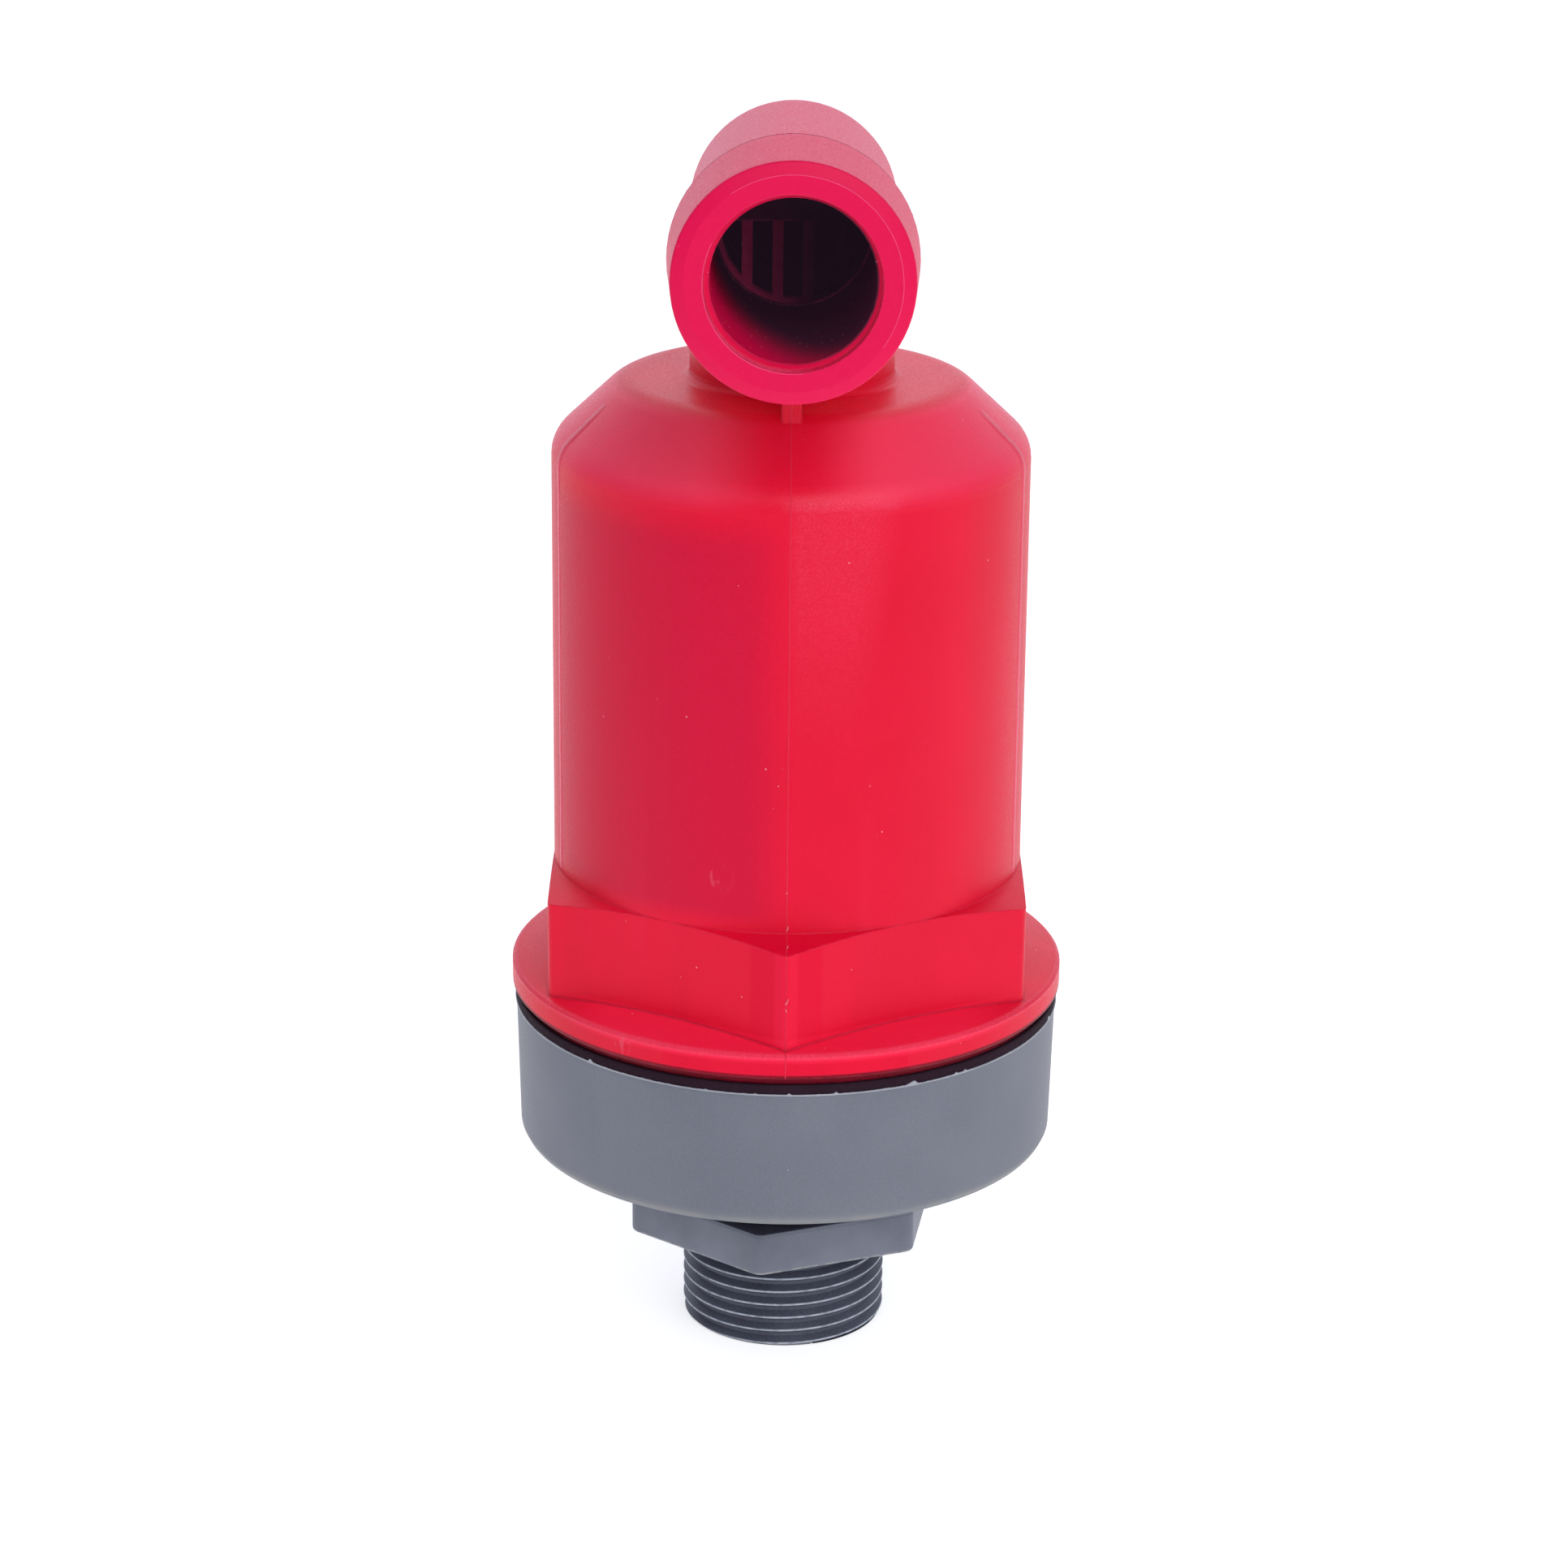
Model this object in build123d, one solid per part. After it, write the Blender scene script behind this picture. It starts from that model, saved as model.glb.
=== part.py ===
from build123d import *
import math
import os

# Automatic air vent with a screwed cup base, a hex nipple and a moulded side outlet.
# Millimetres, +Z up. The origin is the centre of the inlet nipple's lower end, on the
# vent's vertical axis, and the outlet points along -Y.

# ---------------------------------------------------------------- driving dimensions

# G1 pipe thread of the inlet nipple
PIPE_MAJOR_R = 16.62
PIPE_PITCH = 2.309
PIPE_DEPTH = 1.2
THREAD_SHY = 0.25          # gap left between the threads that are screwed together

# Inlet nipple
NIPPLE_BORE_R = 12.0
NIPPLE_THREAD_TOP_Z = 17.4
NIPPLE_HEX_TOP_Z = 24.5
NIPPLE_TOP_Z = 36.6
NIPPLE_HEX_CORNER_R = 26.8
NIPPLE_HEX_CORNER_ROUND = 2.0
NIPPLE_HEX_TURN = -8.6     # the hex stops where the thread tightened, not square to the outlet

# Cup base
CUP_FLOOR_Z = 34.0
CUP_FLOOR = 4.0
CUP_RIM_Z = 56.7
CUP_RIM_R = 43.8
CUP_FOOT_R = 43.3
CUP_INNER_R = 39.3
HUB_BOTTOM_Z = 25.0
HUB_R = 22.3

# Body
GASKET_TOP_Z = 58.2
FLANGE_BOTTOM_Z = 59.3
FLANGE_EDGE_Z = 63.4       # the flange's top falls away from the hex to this edge
FLANGE_ROOT_Z = 65.1
FLANGE_R = 44.4
STEP_R = 43.2
HEX_EDGE_Z = 79.0          # height of the hex's corners
HEX_ROOT_Z = 80.6          # height of the hex's top at the cylinder
HEX_CORNER_ROUND = 1.6
BODY_R = 37.5
BODY_TOP_R = 37.4
SHOULDER_Z = 149.1
DOME_Z = 159.0
DOME_FLAT_R = 26.9
SHOULDER_ROUND = 5.5
DOME_ROUND = 6.0
WALL = 3.4
SKIRT_R = 39.0
SKIRT_BOTTOM_Z = 41.4
SKIRT_BORE_R = 34.2
SKIRT_PITCH = 3.0
SKIRT_DEPTH = 1.0

# Neck, elbow and outlet
NECK_R = 15.9
NECK_FOOT = 1.3            # the neck flares out this far where it meets the dome
NECK_BORE_R = 11.3
OUTLET_Z = 185.6
COLLAR_BACK_Y = -40.0
OUTLET_FACE_Y = -57.0
COLLAR_BACK_R = 18.35
COLLAR_FACE_R = 17.4
SOCKET_R = 11.9
SOCKET_END_Y = -17.2
MOUTH_R = 12.7
MOUTH_DEPTH = 2.3
SCREEN_SEAT_R = 11.6
SCREEN_BACK_Y = -15.0
SCREEN_BARS = 4
SCREEN_BAR = 1.6
SCREEN_SLOT = 3.0
SCREEN_RIM = 0.8
SCREEN_OPEN_ABOVE = 1.0    # how far the slots reach above the outlet's axis
COLLAR_BEVEL = 1.9
COLLAR_BEVEL_DEPTH = 0.6
RIB_THICKNESS = 3.0
RIB_FRONT_Y = -27.5
EDGE_ROUND = 0.4           # on the collar's and rib's edges

# Large orifice: the seat that the float plug closes
SEAT_Z = 149.0
SEAT_BORE_R = 12.0
SEAT_R = 17.6
SEAT_HEIGHT = 5.2
SEAT_BOSS_R = 21.0

# Cage that guides the float and the plug
CAGE_FLOOR_Z = 38.4
CAGE_FLANGE = 2.6
CAGE_FLANGE_R = 38.6
POST_INNER_R = 25.2
POST_THICKNESS = 3.0
POST_WIDTH = 9.0
POST_COUNT = 4
CAGE_RING = 3.0
CAGE_RING_BORE_R = 18.4
POST_TOP_Z = 146.0

# Float plug, at the bottom of its travel
PLUG_TRAVEL = 12.0
SEAL_TOP_Z = SEAT_Z - PLUG_TRAVEL - 0.2
SEAL_HEIGHT = 2.3
PLUG_THICKNESS = 4.5
PLUG_BOTTOM_Z = SEAL_TOP_Z - SEAL_HEIGHT - PLUG_THICKNESS
PLUG_R = 17.8
EAR_COUNT = 4
EAR_REACH_R = 24.9
EAR_WIDTH = 6.0
SEAL_INNER_R = 11.4
SEAL_R = 16.0

# Automatic orifice and its lever
NOZZLE_Y = -3.0
NOZZLE_HOLE_R = 0.8
NOZZLE_STEM_R = 2.6
PIVOT_Y = -9.0
PIVOT_Z = 124.6
PIN_R = 1.0
LINK_ARM = 16.0            # pivot to link pin
FLOAT_STROKE = 4.0         # the float's own travel under the plug, which swings the lever
LEVER_HALF_WIDTH = 2.5
LEVER_THICKNESS = 3.4
CHEEK_GAP = 3.0
CHEEK_THICKNESS = 2.0
PAD_R = 2.2
PAD_THICKNESS = 1.2
PAD_PROUD = 0.3
PAD_GAP = 0.1              # left between the pad and the nozzle with the lever level
BRACKET_THICKNESS = 1.6
SCREW_X = 10.2
SCREW_Y = -7.0

# Float
FLOAT_BOTTOM_Z = 41.4
FLOAT_SPLIT_Z = 76.0
FLOAT_SHOULDER_Z = 106.0
FLOAT_TOP_Z = 109.0
FLOAT_R = 24.0
FLOAT_WALL = 1.8
HANGER_R = 8.0
HANGER_BASE = 2.0

# Strainer
STRAINER_R = 17.4
STRAINER_THICKNESS = 0.9
STRAINER_HOLE_R = 0.9
STRAINER_RINGS = 4
STRAINER_RING_PITCH = 3.0

LEVER_REST_DEG = -math.degrees(math.asin(FLOAT_STROKE / LINK_ARM))
NOZZLE_TIP_Z = PIVOT_Z + LEVER_THICKNESS / 2 + PAD_PROUD + PAD_GAP
CAGE_RING_Z = PLUG_BOTTOM_Z - 0.4 - CAGE_RING


# ---------------------------------------------------------------- shared helpers

def turned(points):
    """A solid of revolution about Z from (radius, height) points."""
    outline = Polyline(*[(r, 0, z) for r, z in points], close=True)
    return revolve(make_face(outline), Axis.Z)


def upright(radius, low_z, high_z, x=0.0, y=0.0):
    """A cylinder that stands along Z."""
    return Pos(x, y, low_z) * Cylinder(radius, high_z - low_z, align=(Align.CENTER, Align.CENTER, Align.MIN))


def along_y(radius, near_y, far_y, z=OUTLET_Z, far_radius=None):
    """A cylinder or cone along +Y, from near_y to far_y."""
    length = far_y - near_y
    place = Pos(0, near_y, z) * Rot(-90, 0, 0)
    align = (Align.CENTER, Align.CENTER, Align.MIN)
    if far_radius is None:
        return place * Cylinder(radius, length, align=align)
    return place * Cone(radius, far_radius, length, align=align)


def cross_pin(radius, half_length, y, z):
    """A pin along X."""
    return Pos(0, y, z) * Rot(0, 90, 0) * Cylinder(radius, 2 * half_length)


def block(x_range, y_range, z_range):
    """A box between two limits on each axis."""
    sizes = [high - low for low, high in (x_range, y_range, z_range)]
    centre = [(high + low) / 2 for low, high in (x_range, y_range, z_range)]
    return Pos(*centre) * Box(*sizes)


def threaded_outline(crest_r, depth, pitch, low_z, high_z):
    """Points up one side of a ribbed cylinder: one rounded-off ridge per pitch of thread.

    The first ridge starts at low_z and the last one ends at or below high_z. A negative
    depth gives the inside of a nut, whose ridges stand towards the axis.
    """
    root_r = crest_r - depth
    points = []
    ridges = int((high_z - low_z + 1e-6) / pitch)
    for ridge in range(ridges):
        base = low_z + ridge * pitch
        points += [
            (root_r, base),
            (root_r, base + 0.12 * pitch),
            (crest_r, base + 0.42 * pitch),
            (crest_r, base + 0.62 * pitch),
            (root_r, base + 0.92 * pitch),
        ]
    points.append((root_r, high_z))
    return points


def hex_prism(corner_r, low_z, high_z, turn_deg, corner_round):
    """A hexagonal prism with a corner towards -Y, turned by turn_deg about Z."""
    outline = RegularPolygon(corner_r, 6, rotation=30)
    prism = Pos(0, 0, low_z) * extrude(outline, high_z - low_z)
    prism = fillet(prism.edges().filter_by(Axis.Z), corner_round)
    return Rot(0, 0, turn_deg) * prism


# ---------------------------------------------------------------- fixed parts

def make_body():
    """The red moulding: skirt, flange, hex, cylinder, dome, neck, elbow and outlet."""
    lower = turned([
        (SKIRT_BORE_R, SKIRT_BOTTOM_Z),
        (SKIRT_R - SKIRT_DEPTH, SKIRT_BOTTOM_Z),
        *threaded_outline(SKIRT_R, SKIRT_DEPTH, SKIRT_PITCH, SKIRT_BOTTOM_Z + 0.6, GASKET_TOP_Z - 1.0),
        (SKIRT_R - SKIRT_DEPTH, GASKET_TOP_Z),
        (STEP_R, GASKET_TOP_Z),
        (STEP_R, FLANGE_BOTTOM_Z),
        (FLANGE_R - 0.3, FLANGE_BOTTOM_Z),
        (FLANGE_R, FLANGE_BOTTOM_Z + 0.3),
        (FLANGE_R, FLANGE_EDGE_Z - 0.4),
        (FLANGE_R - 0.4, FLANGE_EDGE_Z),
        (BODY_R - 1.0, FLANGE_ROOT_Z),
        (SKIRT_BORE_R, FLANGE_ROOT_Z),
    ])
    corner_r = BODY_R / math.cos(math.radians(30))
    hex_blank = hex_prism(corner_r, FLANGE_EDGE_Z - 1.0, HEX_ROOT_Z, 0, HEX_CORNER_ROUND)
    nut_cone = turned([
        (0, FLANGE_EDGE_Z - 2.0),
        (corner_r + 2.0, FLANGE_EDGE_Z - 2.0),
        (corner_r + 2.0, HEX_EDGE_Z - 0.55),
        (corner_r, HEX_EDGE_Z),
        (BODY_R, HEX_ROOT_Z),
        (0, HEX_ROOT_Z),
    ])
    body_hex = hex_blank & nut_cone
    barrel_outline = Polyline(
        (0, 0, FLANGE_EDGE_Z),
        (BODY_R, 0, FLANGE_EDGE_Z),
        (BODY_TOP_R, 0, SHOULDER_Z),
        (DOME_FLAT_R, 0, DOME_Z),
        (0, 0, DOME_Z),
        close=True,
    )
    barrel = revolve(make_face(barrel_outline), Axis.Z)
    shoulder_edges = barrel.edges().filter_by(GeomType.CIRCLE).sort_by(Axis.Z)
    barrel = fillet(shoulder_edges[-2], SHOULDER_ROUND)
    dome_edge = barrel.edges().filter_by(GeomType.CIRCLE).sort_by(Axis.Z)[-1]
    barrel = fillet(dome_edge, DOME_ROUND)

    elbow = upright(NECK_R, DOME_Z - 2.0, OUTLET_Z) + Pos(0, 0, OUTLET_Z) * Sphere(NECK_R)
    foot = turned([
        (0, DOME_Z - 1.0),
        (NECK_R + NECK_FOOT, DOME_Z - 1.0),
        (NECK_R + NECK_FOOT, DOME_Z),
        (NECK_R + 0.5 * NECK_FOOT, DOME_Z + 0.14 * NECK_FOOT),
        (NECK_R + 0.14 * NECK_FOOT, DOME_Z + 0.5 * NECK_FOOT),
        (NECK_R, DOME_Z + NECK_FOOT),
        (0, DOME_Z + NECK_FOOT),
    ])
    tube = along_y(NECK_R, COLLAR_BACK_Y, 0)
    collar_outline = Polyline(
        (0, OUTLET_FACE_Y),
        (COLLAR_FACE_R - COLLAR_BEVEL, OUTLET_FACE_Y),
        (COLLAR_FACE_R, OUTLET_FACE_Y + COLLAR_BEVEL_DEPTH),
        (COLLAR_BACK_R, COLLAR_BACK_Y),
        (0, COLLAR_BACK_Y),
        close=True,
    )
    collar = revolve(make_face(collar_outline), Axis.Y)
    collar_edges = collar.edges().filter_by(GeomType.CIRCLE).sort_by(Axis.Y)
    collar = fillet(collar_edges, EDGE_ROUND)
    collar = Pos(0, 0, OUTLET_Z) * collar
    rib = block(
        (-RIB_THICKNESS / 2, RIB_THICKNESS / 2),
        (RIB_FRONT_Y, 0),
        (DOME_Z - 4.0, OUTLET_Z),
    )
    rib = fillet(rib.edges().filter_by(Axis.Z).group_by(Axis.Y)[0], EDGE_ROUND)
    outside = lower + barrel + body_hex + elbow + foot + tube + collar + rib

    slope = (DOME_Z - SHOULDER_Z) / (BODY_TOP_R - DOME_FLAT_R)
    ceiling_z = DOME_Z - WALL - 0.9
    chamber_r = BODY_TOP_R - WALL
    ceiling_r = chamber_r - (ceiling_z - SHOULDER_Z + 1.2) / slope
    chamber = turned([
        (0, SKIRT_BOTTOM_Z - 1.0),
        (SKIRT_BORE_R, SKIRT_BOTTOM_Z - 1.0),
        (SKIRT_BORE_R, HEX_ROOT_Z),
        (chamber_r, SHOULDER_Z - 1.2),
        (ceiling_r, ceiling_z),
        (0, ceiling_z),
    ])
    seat_boss = turned([
        (SEAT_R + 0.1, SEAT_Z),
        (SEAT_BOSS_R, SEAT_Z),
        (SEAT_BOSS_R, ceiling_z + 1.0),
        (SEAT_R + 0.1, ceiling_z + 1.0),
    ])
    chamber -= seat_boss
    passage = upright(NECK_BORE_R, ceiling_z - 1.0, OUTLET_Z)
    passage += Pos(0, 0, OUTLET_Z) * Sphere(NECK_BORE_R)
    passage += along_y(NECK_BORE_R - 0.3, SCREEN_BACK_Y - 0.1, 0)
    screen_seat = along_y(SCREEN_SEAT_R, SOCKET_END_Y, SCREEN_BACK_Y)
    socket = along_y(SOCKET_R, OUTLET_FACE_Y, SOCKET_END_Y)
    mouth = along_y(MOUTH_R, OUTLET_FACE_Y - 1.0, OUTLET_FACE_Y + MOUTH_DEPTH)
    return outside - chamber - passage - screen_seat - socket - mouth


def make_outlet_screen():
    """The barred insect screen across the outlet socket's inner end: open below, solid above."""
    front_y = SOCKET_END_Y + 0.2
    disc = along_y(SCREEN_SEAT_R - 0.05, front_y, SCREEN_BACK_Y)
    opening_r = SCREEN_SEAT_R - SCREEN_RIM
    opening = along_y(opening_r, front_y - 1.0, SCREEN_BACK_Y + 1.0)
    opening &= block(
        (-SCREEN_SEAT_R, SCREEN_SEAT_R),
        (front_y - 2.0, SCREEN_BACK_Y + 2.0),
        (OUTLET_Z - SCREEN_SEAT_R, OUTLET_Z + SCREEN_OPEN_ABOVE),
    )
    pitch = SCREEN_BAR + SCREEN_SLOT
    for index in range(SCREEN_BARS):
        centre_x = (index - (SCREEN_BARS - 1) / 2) * pitch
        opening -= block(
            (centre_x - SCREEN_BAR / 2, centre_x + SCREEN_BAR / 2),
            (front_y - 2.0, SCREEN_BACK_Y + 2.0),
            (OUTLET_Z - SCREEN_SEAT_R, OUTLET_Z + SCREEN_SEAT_R),
        )
    return disc - opening


def make_base_cup():
    """The grey cup: body thread inside its wall, pipe thread through its hub."""
    inside = threaded_outline(
        CUP_INNER_R - SKIRT_DEPTH, -SKIRT_DEPTH, SKIRT_PITCH,
        SKIRT_BOTTOM_Z + 0.6 + SKIRT_PITCH / 2, CUP_RIM_Z - 2.0,
    )
    floor_top = CUP_FLOOR_Z + CUP_FLOOR
    bore = threaded_outline(
        PIPE_MAJOR_R + THREAD_SHY - PIPE_DEPTH, -PIPE_DEPTH, PIPE_PITCH,
        NIPPLE_HEX_TOP_Z + 1.2 + PIPE_PITCH / 2, floor_top - 2.0,
    )
    recess_z = floor_top - STRAINER_THICKNESS - 0.2
    outline = [
        (PIPE_MAJOR_R + THREAD_SHY, HUB_BOTTOM_Z),
        *bore,
        (PIPE_MAJOR_R + THREAD_SHY, recess_z),
        (STRAINER_R + 0.1, recess_z),
        (STRAINER_R + 0.1, floor_top),
        (CUP_INNER_R, floor_top),
        *inside,
        (CUP_INNER_R, CUP_RIM_Z),
        (CUP_RIM_R - 0.2, CUP_RIM_Z),
        (CUP_RIM_R, CUP_RIM_Z - 0.2),
        (CUP_FOOT_R, CUP_FLOOR_Z + 1.3),
        (CUP_FOOT_R - 0.45, CUP_FLOOR_Z + 0.4),
        (CUP_FOOT_R - 1.4, CUP_FLOOR_Z),
        (HUB_R, CUP_FLOOR_Z),
        (HUB_R, HUB_BOTTOM_Z + 0.4),
        (HUB_R - 0.4, HUB_BOTTOM_Z),
    ]
    return turned(outline)


def make_hex_nipple():
    """The grey double-threaded nipple with its spanner hex."""
    root_r = PIPE_MAJOR_R - PIPE_DEPTH
    lead = 0.95
    lower = turned([
        (NIPPLE_BORE_R, 0),
        (PIPE_MAJOR_R - lead, 0),
        *threaded_outline(PIPE_MAJOR_R, PIPE_DEPTH, PIPE_PITCH, 0.3, NIPPLE_THREAD_TOP_Z - 0.7),
        (root_r, NIPPLE_THREAD_TOP_Z + 0.5),
        (NIPPLE_BORE_R, NIPPLE_THREAD_TOP_Z + 0.5),
    ])
    upper = turned([
        (NIPPLE_BORE_R, NIPPLE_HEX_TOP_Z - 0.5),
        (root_r, NIPPLE_HEX_TOP_Z - 0.5),
        *threaded_outline(PIPE_MAJOR_R - THREAD_SHY, PIPE_DEPTH - THREAD_SHY, PIPE_PITCH,
                          NIPPLE_HEX_TOP_Z + 1.2, NIPPLE_TOP_Z),
        (NIPPLE_BORE_R, NIPPLE_TOP_Z),
    ])
    spanner_hex = hex_prism(
        NIPPLE_HEX_CORNER_R, NIPPLE_THREAD_TOP_Z, NIPPLE_HEX_TOP_Z, NIPPLE_HEX_TURN,
        NIPPLE_HEX_CORNER_ROUND,
    )
    spanner_hex -= upright(NIPPLE_BORE_R, NIPPLE_THREAD_TOP_Z - 1.0, NIPPLE_HEX_TOP_Z + 1.0)
    return lower + spanner_hex + upper


def make_body_gasket():
    """The flat black ring between the body's flange and the cup's rim."""
    return turned([
        (CUP_INNER_R + 0.2, CUP_RIM_Z),
        (CUP_RIM_R, CUP_RIM_Z),
        (CUP_RIM_R + 0.1, CUP_RIM_Z + 0.3),
        (CUP_RIM_R + 0.1, GASKET_TOP_Z - 0.3),
        (CUP_RIM_R, GASKET_TOP_Z),
        (CUP_INNER_R + 0.2, GASKET_TOP_Z),
    ])


def make_nipple_washer():
    """The thin sealing washer between the nipple's hex and the cup's hub."""
    inner_r = PIPE_MAJOR_R + 0.6
    ring = upright(HUB_R - 0.8, NIPPLE_HEX_TOP_Z, HUB_BOTTOM_Z)
    return ring - upright(inner_r, NIPPLE_HEX_TOP_Z - 1.0, HUB_BOTTOM_Z + 1.0)


def make_inlet_strainer():
    """The perforated disc over the inlet."""
    top_z = CUP_FLOOR_Z + CUP_FLOOR - 0.1
    disc = upright(STRAINER_R, top_z - STRAINER_THICKNESS, top_z)
    for ring in range(STRAINER_RINGS):
        ring_r = ring * STRAINER_RING_PITCH
        count = max(1, 6 * ring)
        for index in range(count):
            angle = 2 * math.pi * index / count
            disc -= upright(
                STRAINER_HOLE_R, top_z - 2.0, top_z + 1.0,
                ring_r * math.cos(angle), ring_r * math.sin(angle),
            )
    return disc


def make_float_cage():
    """The cage: a slotted floor, four posts and the ring that the plug rests on."""
    floor_top = CAGE_FLOOR_Z + CAGE_FLANGE
    outer_r = POST_INNER_R + POST_THICKNESS
    cage = upright(CAGE_FLANGE_R, CAGE_FLOOR_Z, floor_top)
    cage -= upright(POST_INNER_R - 2.0, CAGE_FLOOR_Z - 1.0, floor_top + 1.0)
    spoke_length = POST_INNER_R - 1.0
    for angle in (0, 90):
        spoke = block((-spoke_length, spoke_length), (-1.5, 1.5), (CAGE_FLOOR_Z, floor_top))
        cage += Rot(0, 0, angle) * spoke
    post_shell = upright(outer_r, floor_top - 0.5, POST_TOP_Z) - upright(
        POST_INNER_R, floor_top - 1.0, POST_TOP_Z + 1.0,
    )
    for index in range(POST_COUNT):
        keep = block((0, outer_r + 1.0), (-POST_WIDTH / 2, POST_WIDTH / 2), (floor_top - 1.0, POST_TOP_Z + 1.0))
        turn = 45 + index * 360 / POST_COUNT
        cage += post_shell & (Rot(0, 0, turn) * keep)
    ring = upright(outer_r, CAGE_RING_Z, CAGE_RING_Z + CAGE_RING)
    ring -= upright(CAGE_RING_BORE_R, CAGE_RING_Z - 1.0, CAGE_RING_Z + CAGE_RING + 1.0)
    return cage + ring


def make_seat_ring():
    """The ring that the plug's seal closes against."""
    top_z = SEAT_Z + SEAT_HEIGHT
    groove_low = SEAT_Z + 1.6
    groove_high = SEAT_Z + 3.4
    return turned([
        (SEAT_BORE_R + 0.5, SEAT_Z + 0.4),
        (SEAT_BORE_R + 1.0, SEAT_Z),
        (SEAT_BORE_R + 2.0, SEAT_Z),
        (SEAT_BORE_R + 2.5, SEAT_Z + 0.6),
        (SEAT_R, SEAT_Z + 0.6),
        (SEAT_R, groove_low),
        (SEAT_R - 1.4, groove_low),
        (SEAT_R - 1.4, groove_high),
        (SEAT_R, groove_high),
        (SEAT_R, top_z),
        (SEAT_BORE_R, top_z),
        (SEAT_BORE_R, SEAT_Z + 1.0),
    ])


def make_seat_o_ring():
    """The O-ring in the seat ring's groove."""
    cord_r = 0.7
    return Pos(0, 0, SEAT_Z + 2.5) * Torus(SEAT_R - cord_r + 0.05, cord_r)


# ---------------------------------------------------------------- float plug and its fittings

def make_plug_disc():
    """The disc that closes the large orifice, with ears that run between the cage's posts."""
    top_z = PLUG_BOTTOM_Z + PLUG_THICKNESS
    disc = upright(PLUG_R, PLUG_BOTTOM_Z, top_z)
    for index in range(EAR_COUNT):
        ear = block((PLUG_R - 2.0, EAR_REACH_R), (-EAR_WIDTH / 2, EAR_WIDTH / 2), (PLUG_BOTTOM_Z, top_z - 1.5))
        disc += Rot(0, 0, 45 + index * 360 / EAR_COUNT) * ear
    disc &= upright(EAR_REACH_R, PLUG_BOTTOM_Z - 1.0, top_z + 1.0)
    nose = turned([
        (0, top_z - 0.5),
        (SEAL_INNER_R - 0.1, top_z - 0.5),
        (SEAL_INNER_R - 0.1, SEAL_TOP_Z - 0.2),
        (SEAL_INNER_R - 2.0, SEAL_TOP_Z + 1.0),
        (0, SEAL_TOP_Z + 1.0),
    ])
    disc += nose
    disc -= upright(NOZZLE_STEM_R + 0.02, PLUG_BOTTOM_Z - 1.0, SEAL_TOP_Z + 2.0, 0, NOZZLE_Y)
    for side in (-1, 1):
        disc -= upright(1.05, PLUG_BOTTOM_Z - 1.0, PLUG_BOTTOM_Z + 3.4, side * SCREW_X, SCREW_Y)
    return disc


def make_plug_seal():
    """The flat rubber ring on the plug."""
    base_z = PLUG_BOTTOM_Z + PLUG_THICKNESS
    ring = upright(SEAL_R, base_z, SEAL_TOP_Z)
    ring = fillet(ring.edges().filter_by(GeomType.CIRCLE).sort_by(Axis.Z)[-1], 0.4)
    return ring - upright(SEAL_INNER_R, base_z - 1.0, SEAL_TOP_Z + 1.0)


def make_orifice_nozzle():
    """The small nozzle through the plug that bleeds air while the vent is under pressure."""
    stem = turned([
        (NOZZLE_HOLE_R, NOZZLE_TIP_Z),
        (NOZZLE_HOLE_R + 0.5, NOZZLE_TIP_Z),
        (NOZZLE_STEM_R, NOZZLE_TIP_Z + 0.8),
        (NOZZLE_STEM_R, SEAL_TOP_Z + 0.8),
        (NOZZLE_HOLE_R, SEAL_TOP_Z + 0.8),
    ])
    groove_z = PLUG_BOTTOM_Z + 2.5
    groove = upright(NOZZLE_STEM_R + 1.0, groove_z - 0.6, groove_z + 0.6)
    groove -= upright(NOZZLE_STEM_R - 0.9, groove_z - 1.0, groove_z + 1.0)
    return Pos(0, NOZZLE_Y, 0) * (stem - groove)


def make_nozzle_o_ring():
    """The small O-ring around the nozzle's stem."""
    cord_r = 0.42
    return Pos(0, NOZZLE_Y, PLUG_BOTTOM_Z + 2.5) * Torus(NOZZLE_STEM_R - cord_r - 0.03, cord_r)


def make_lever_bracket():
    """The clevis under the plug that carries the lever's pivot pin."""
    top_z = PLUG_BOTTOM_Z
    plate_z = top_z - BRACKET_THICKNESS
    plate_front_y = PIVOT_Y - 3.0
    plate = block((-12.6, 12.6), (SCREW_Y - 2.6, SCREW_Y + 2.6), (plate_z, top_z))
    plate += block((-6.0, 6.0), (plate_front_y, NOZZLE_Y + 4.6), (plate_z, top_z))
    bracket = plate
    for side in (-1, 1):
        near = side * CHEEK_GAP
        far = side * (CHEEK_GAP + CHEEK_THICKNESS)
        cheek = block(sorted((near, far)), (PIVOT_Y - 2.6, PIVOT_Y + 2.6), (PIVOT_Z, plate_z + 0.2))
        eye = Pos((near + far) / 2, PIVOT_Y, PIVOT_Z) * Rot(0, 90, 0) * Cylinder(2.6, CHEEK_THICKNESS)
        bracket += cheek + eye
        bracket -= upright(1.15, plate_z - 1.0, top_z + 1.0, side * SCREW_X, SCREW_Y)
    bracket -= upright(NOZZLE_STEM_R + 0.1, plate_z - 1.0, top_z + 1.0, 0, NOZZLE_Y)
    bracket -= cross_pin(PIN_R + 0.04, 10.0, PIVOT_Y, PIVOT_Z)
    return bracket


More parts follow.
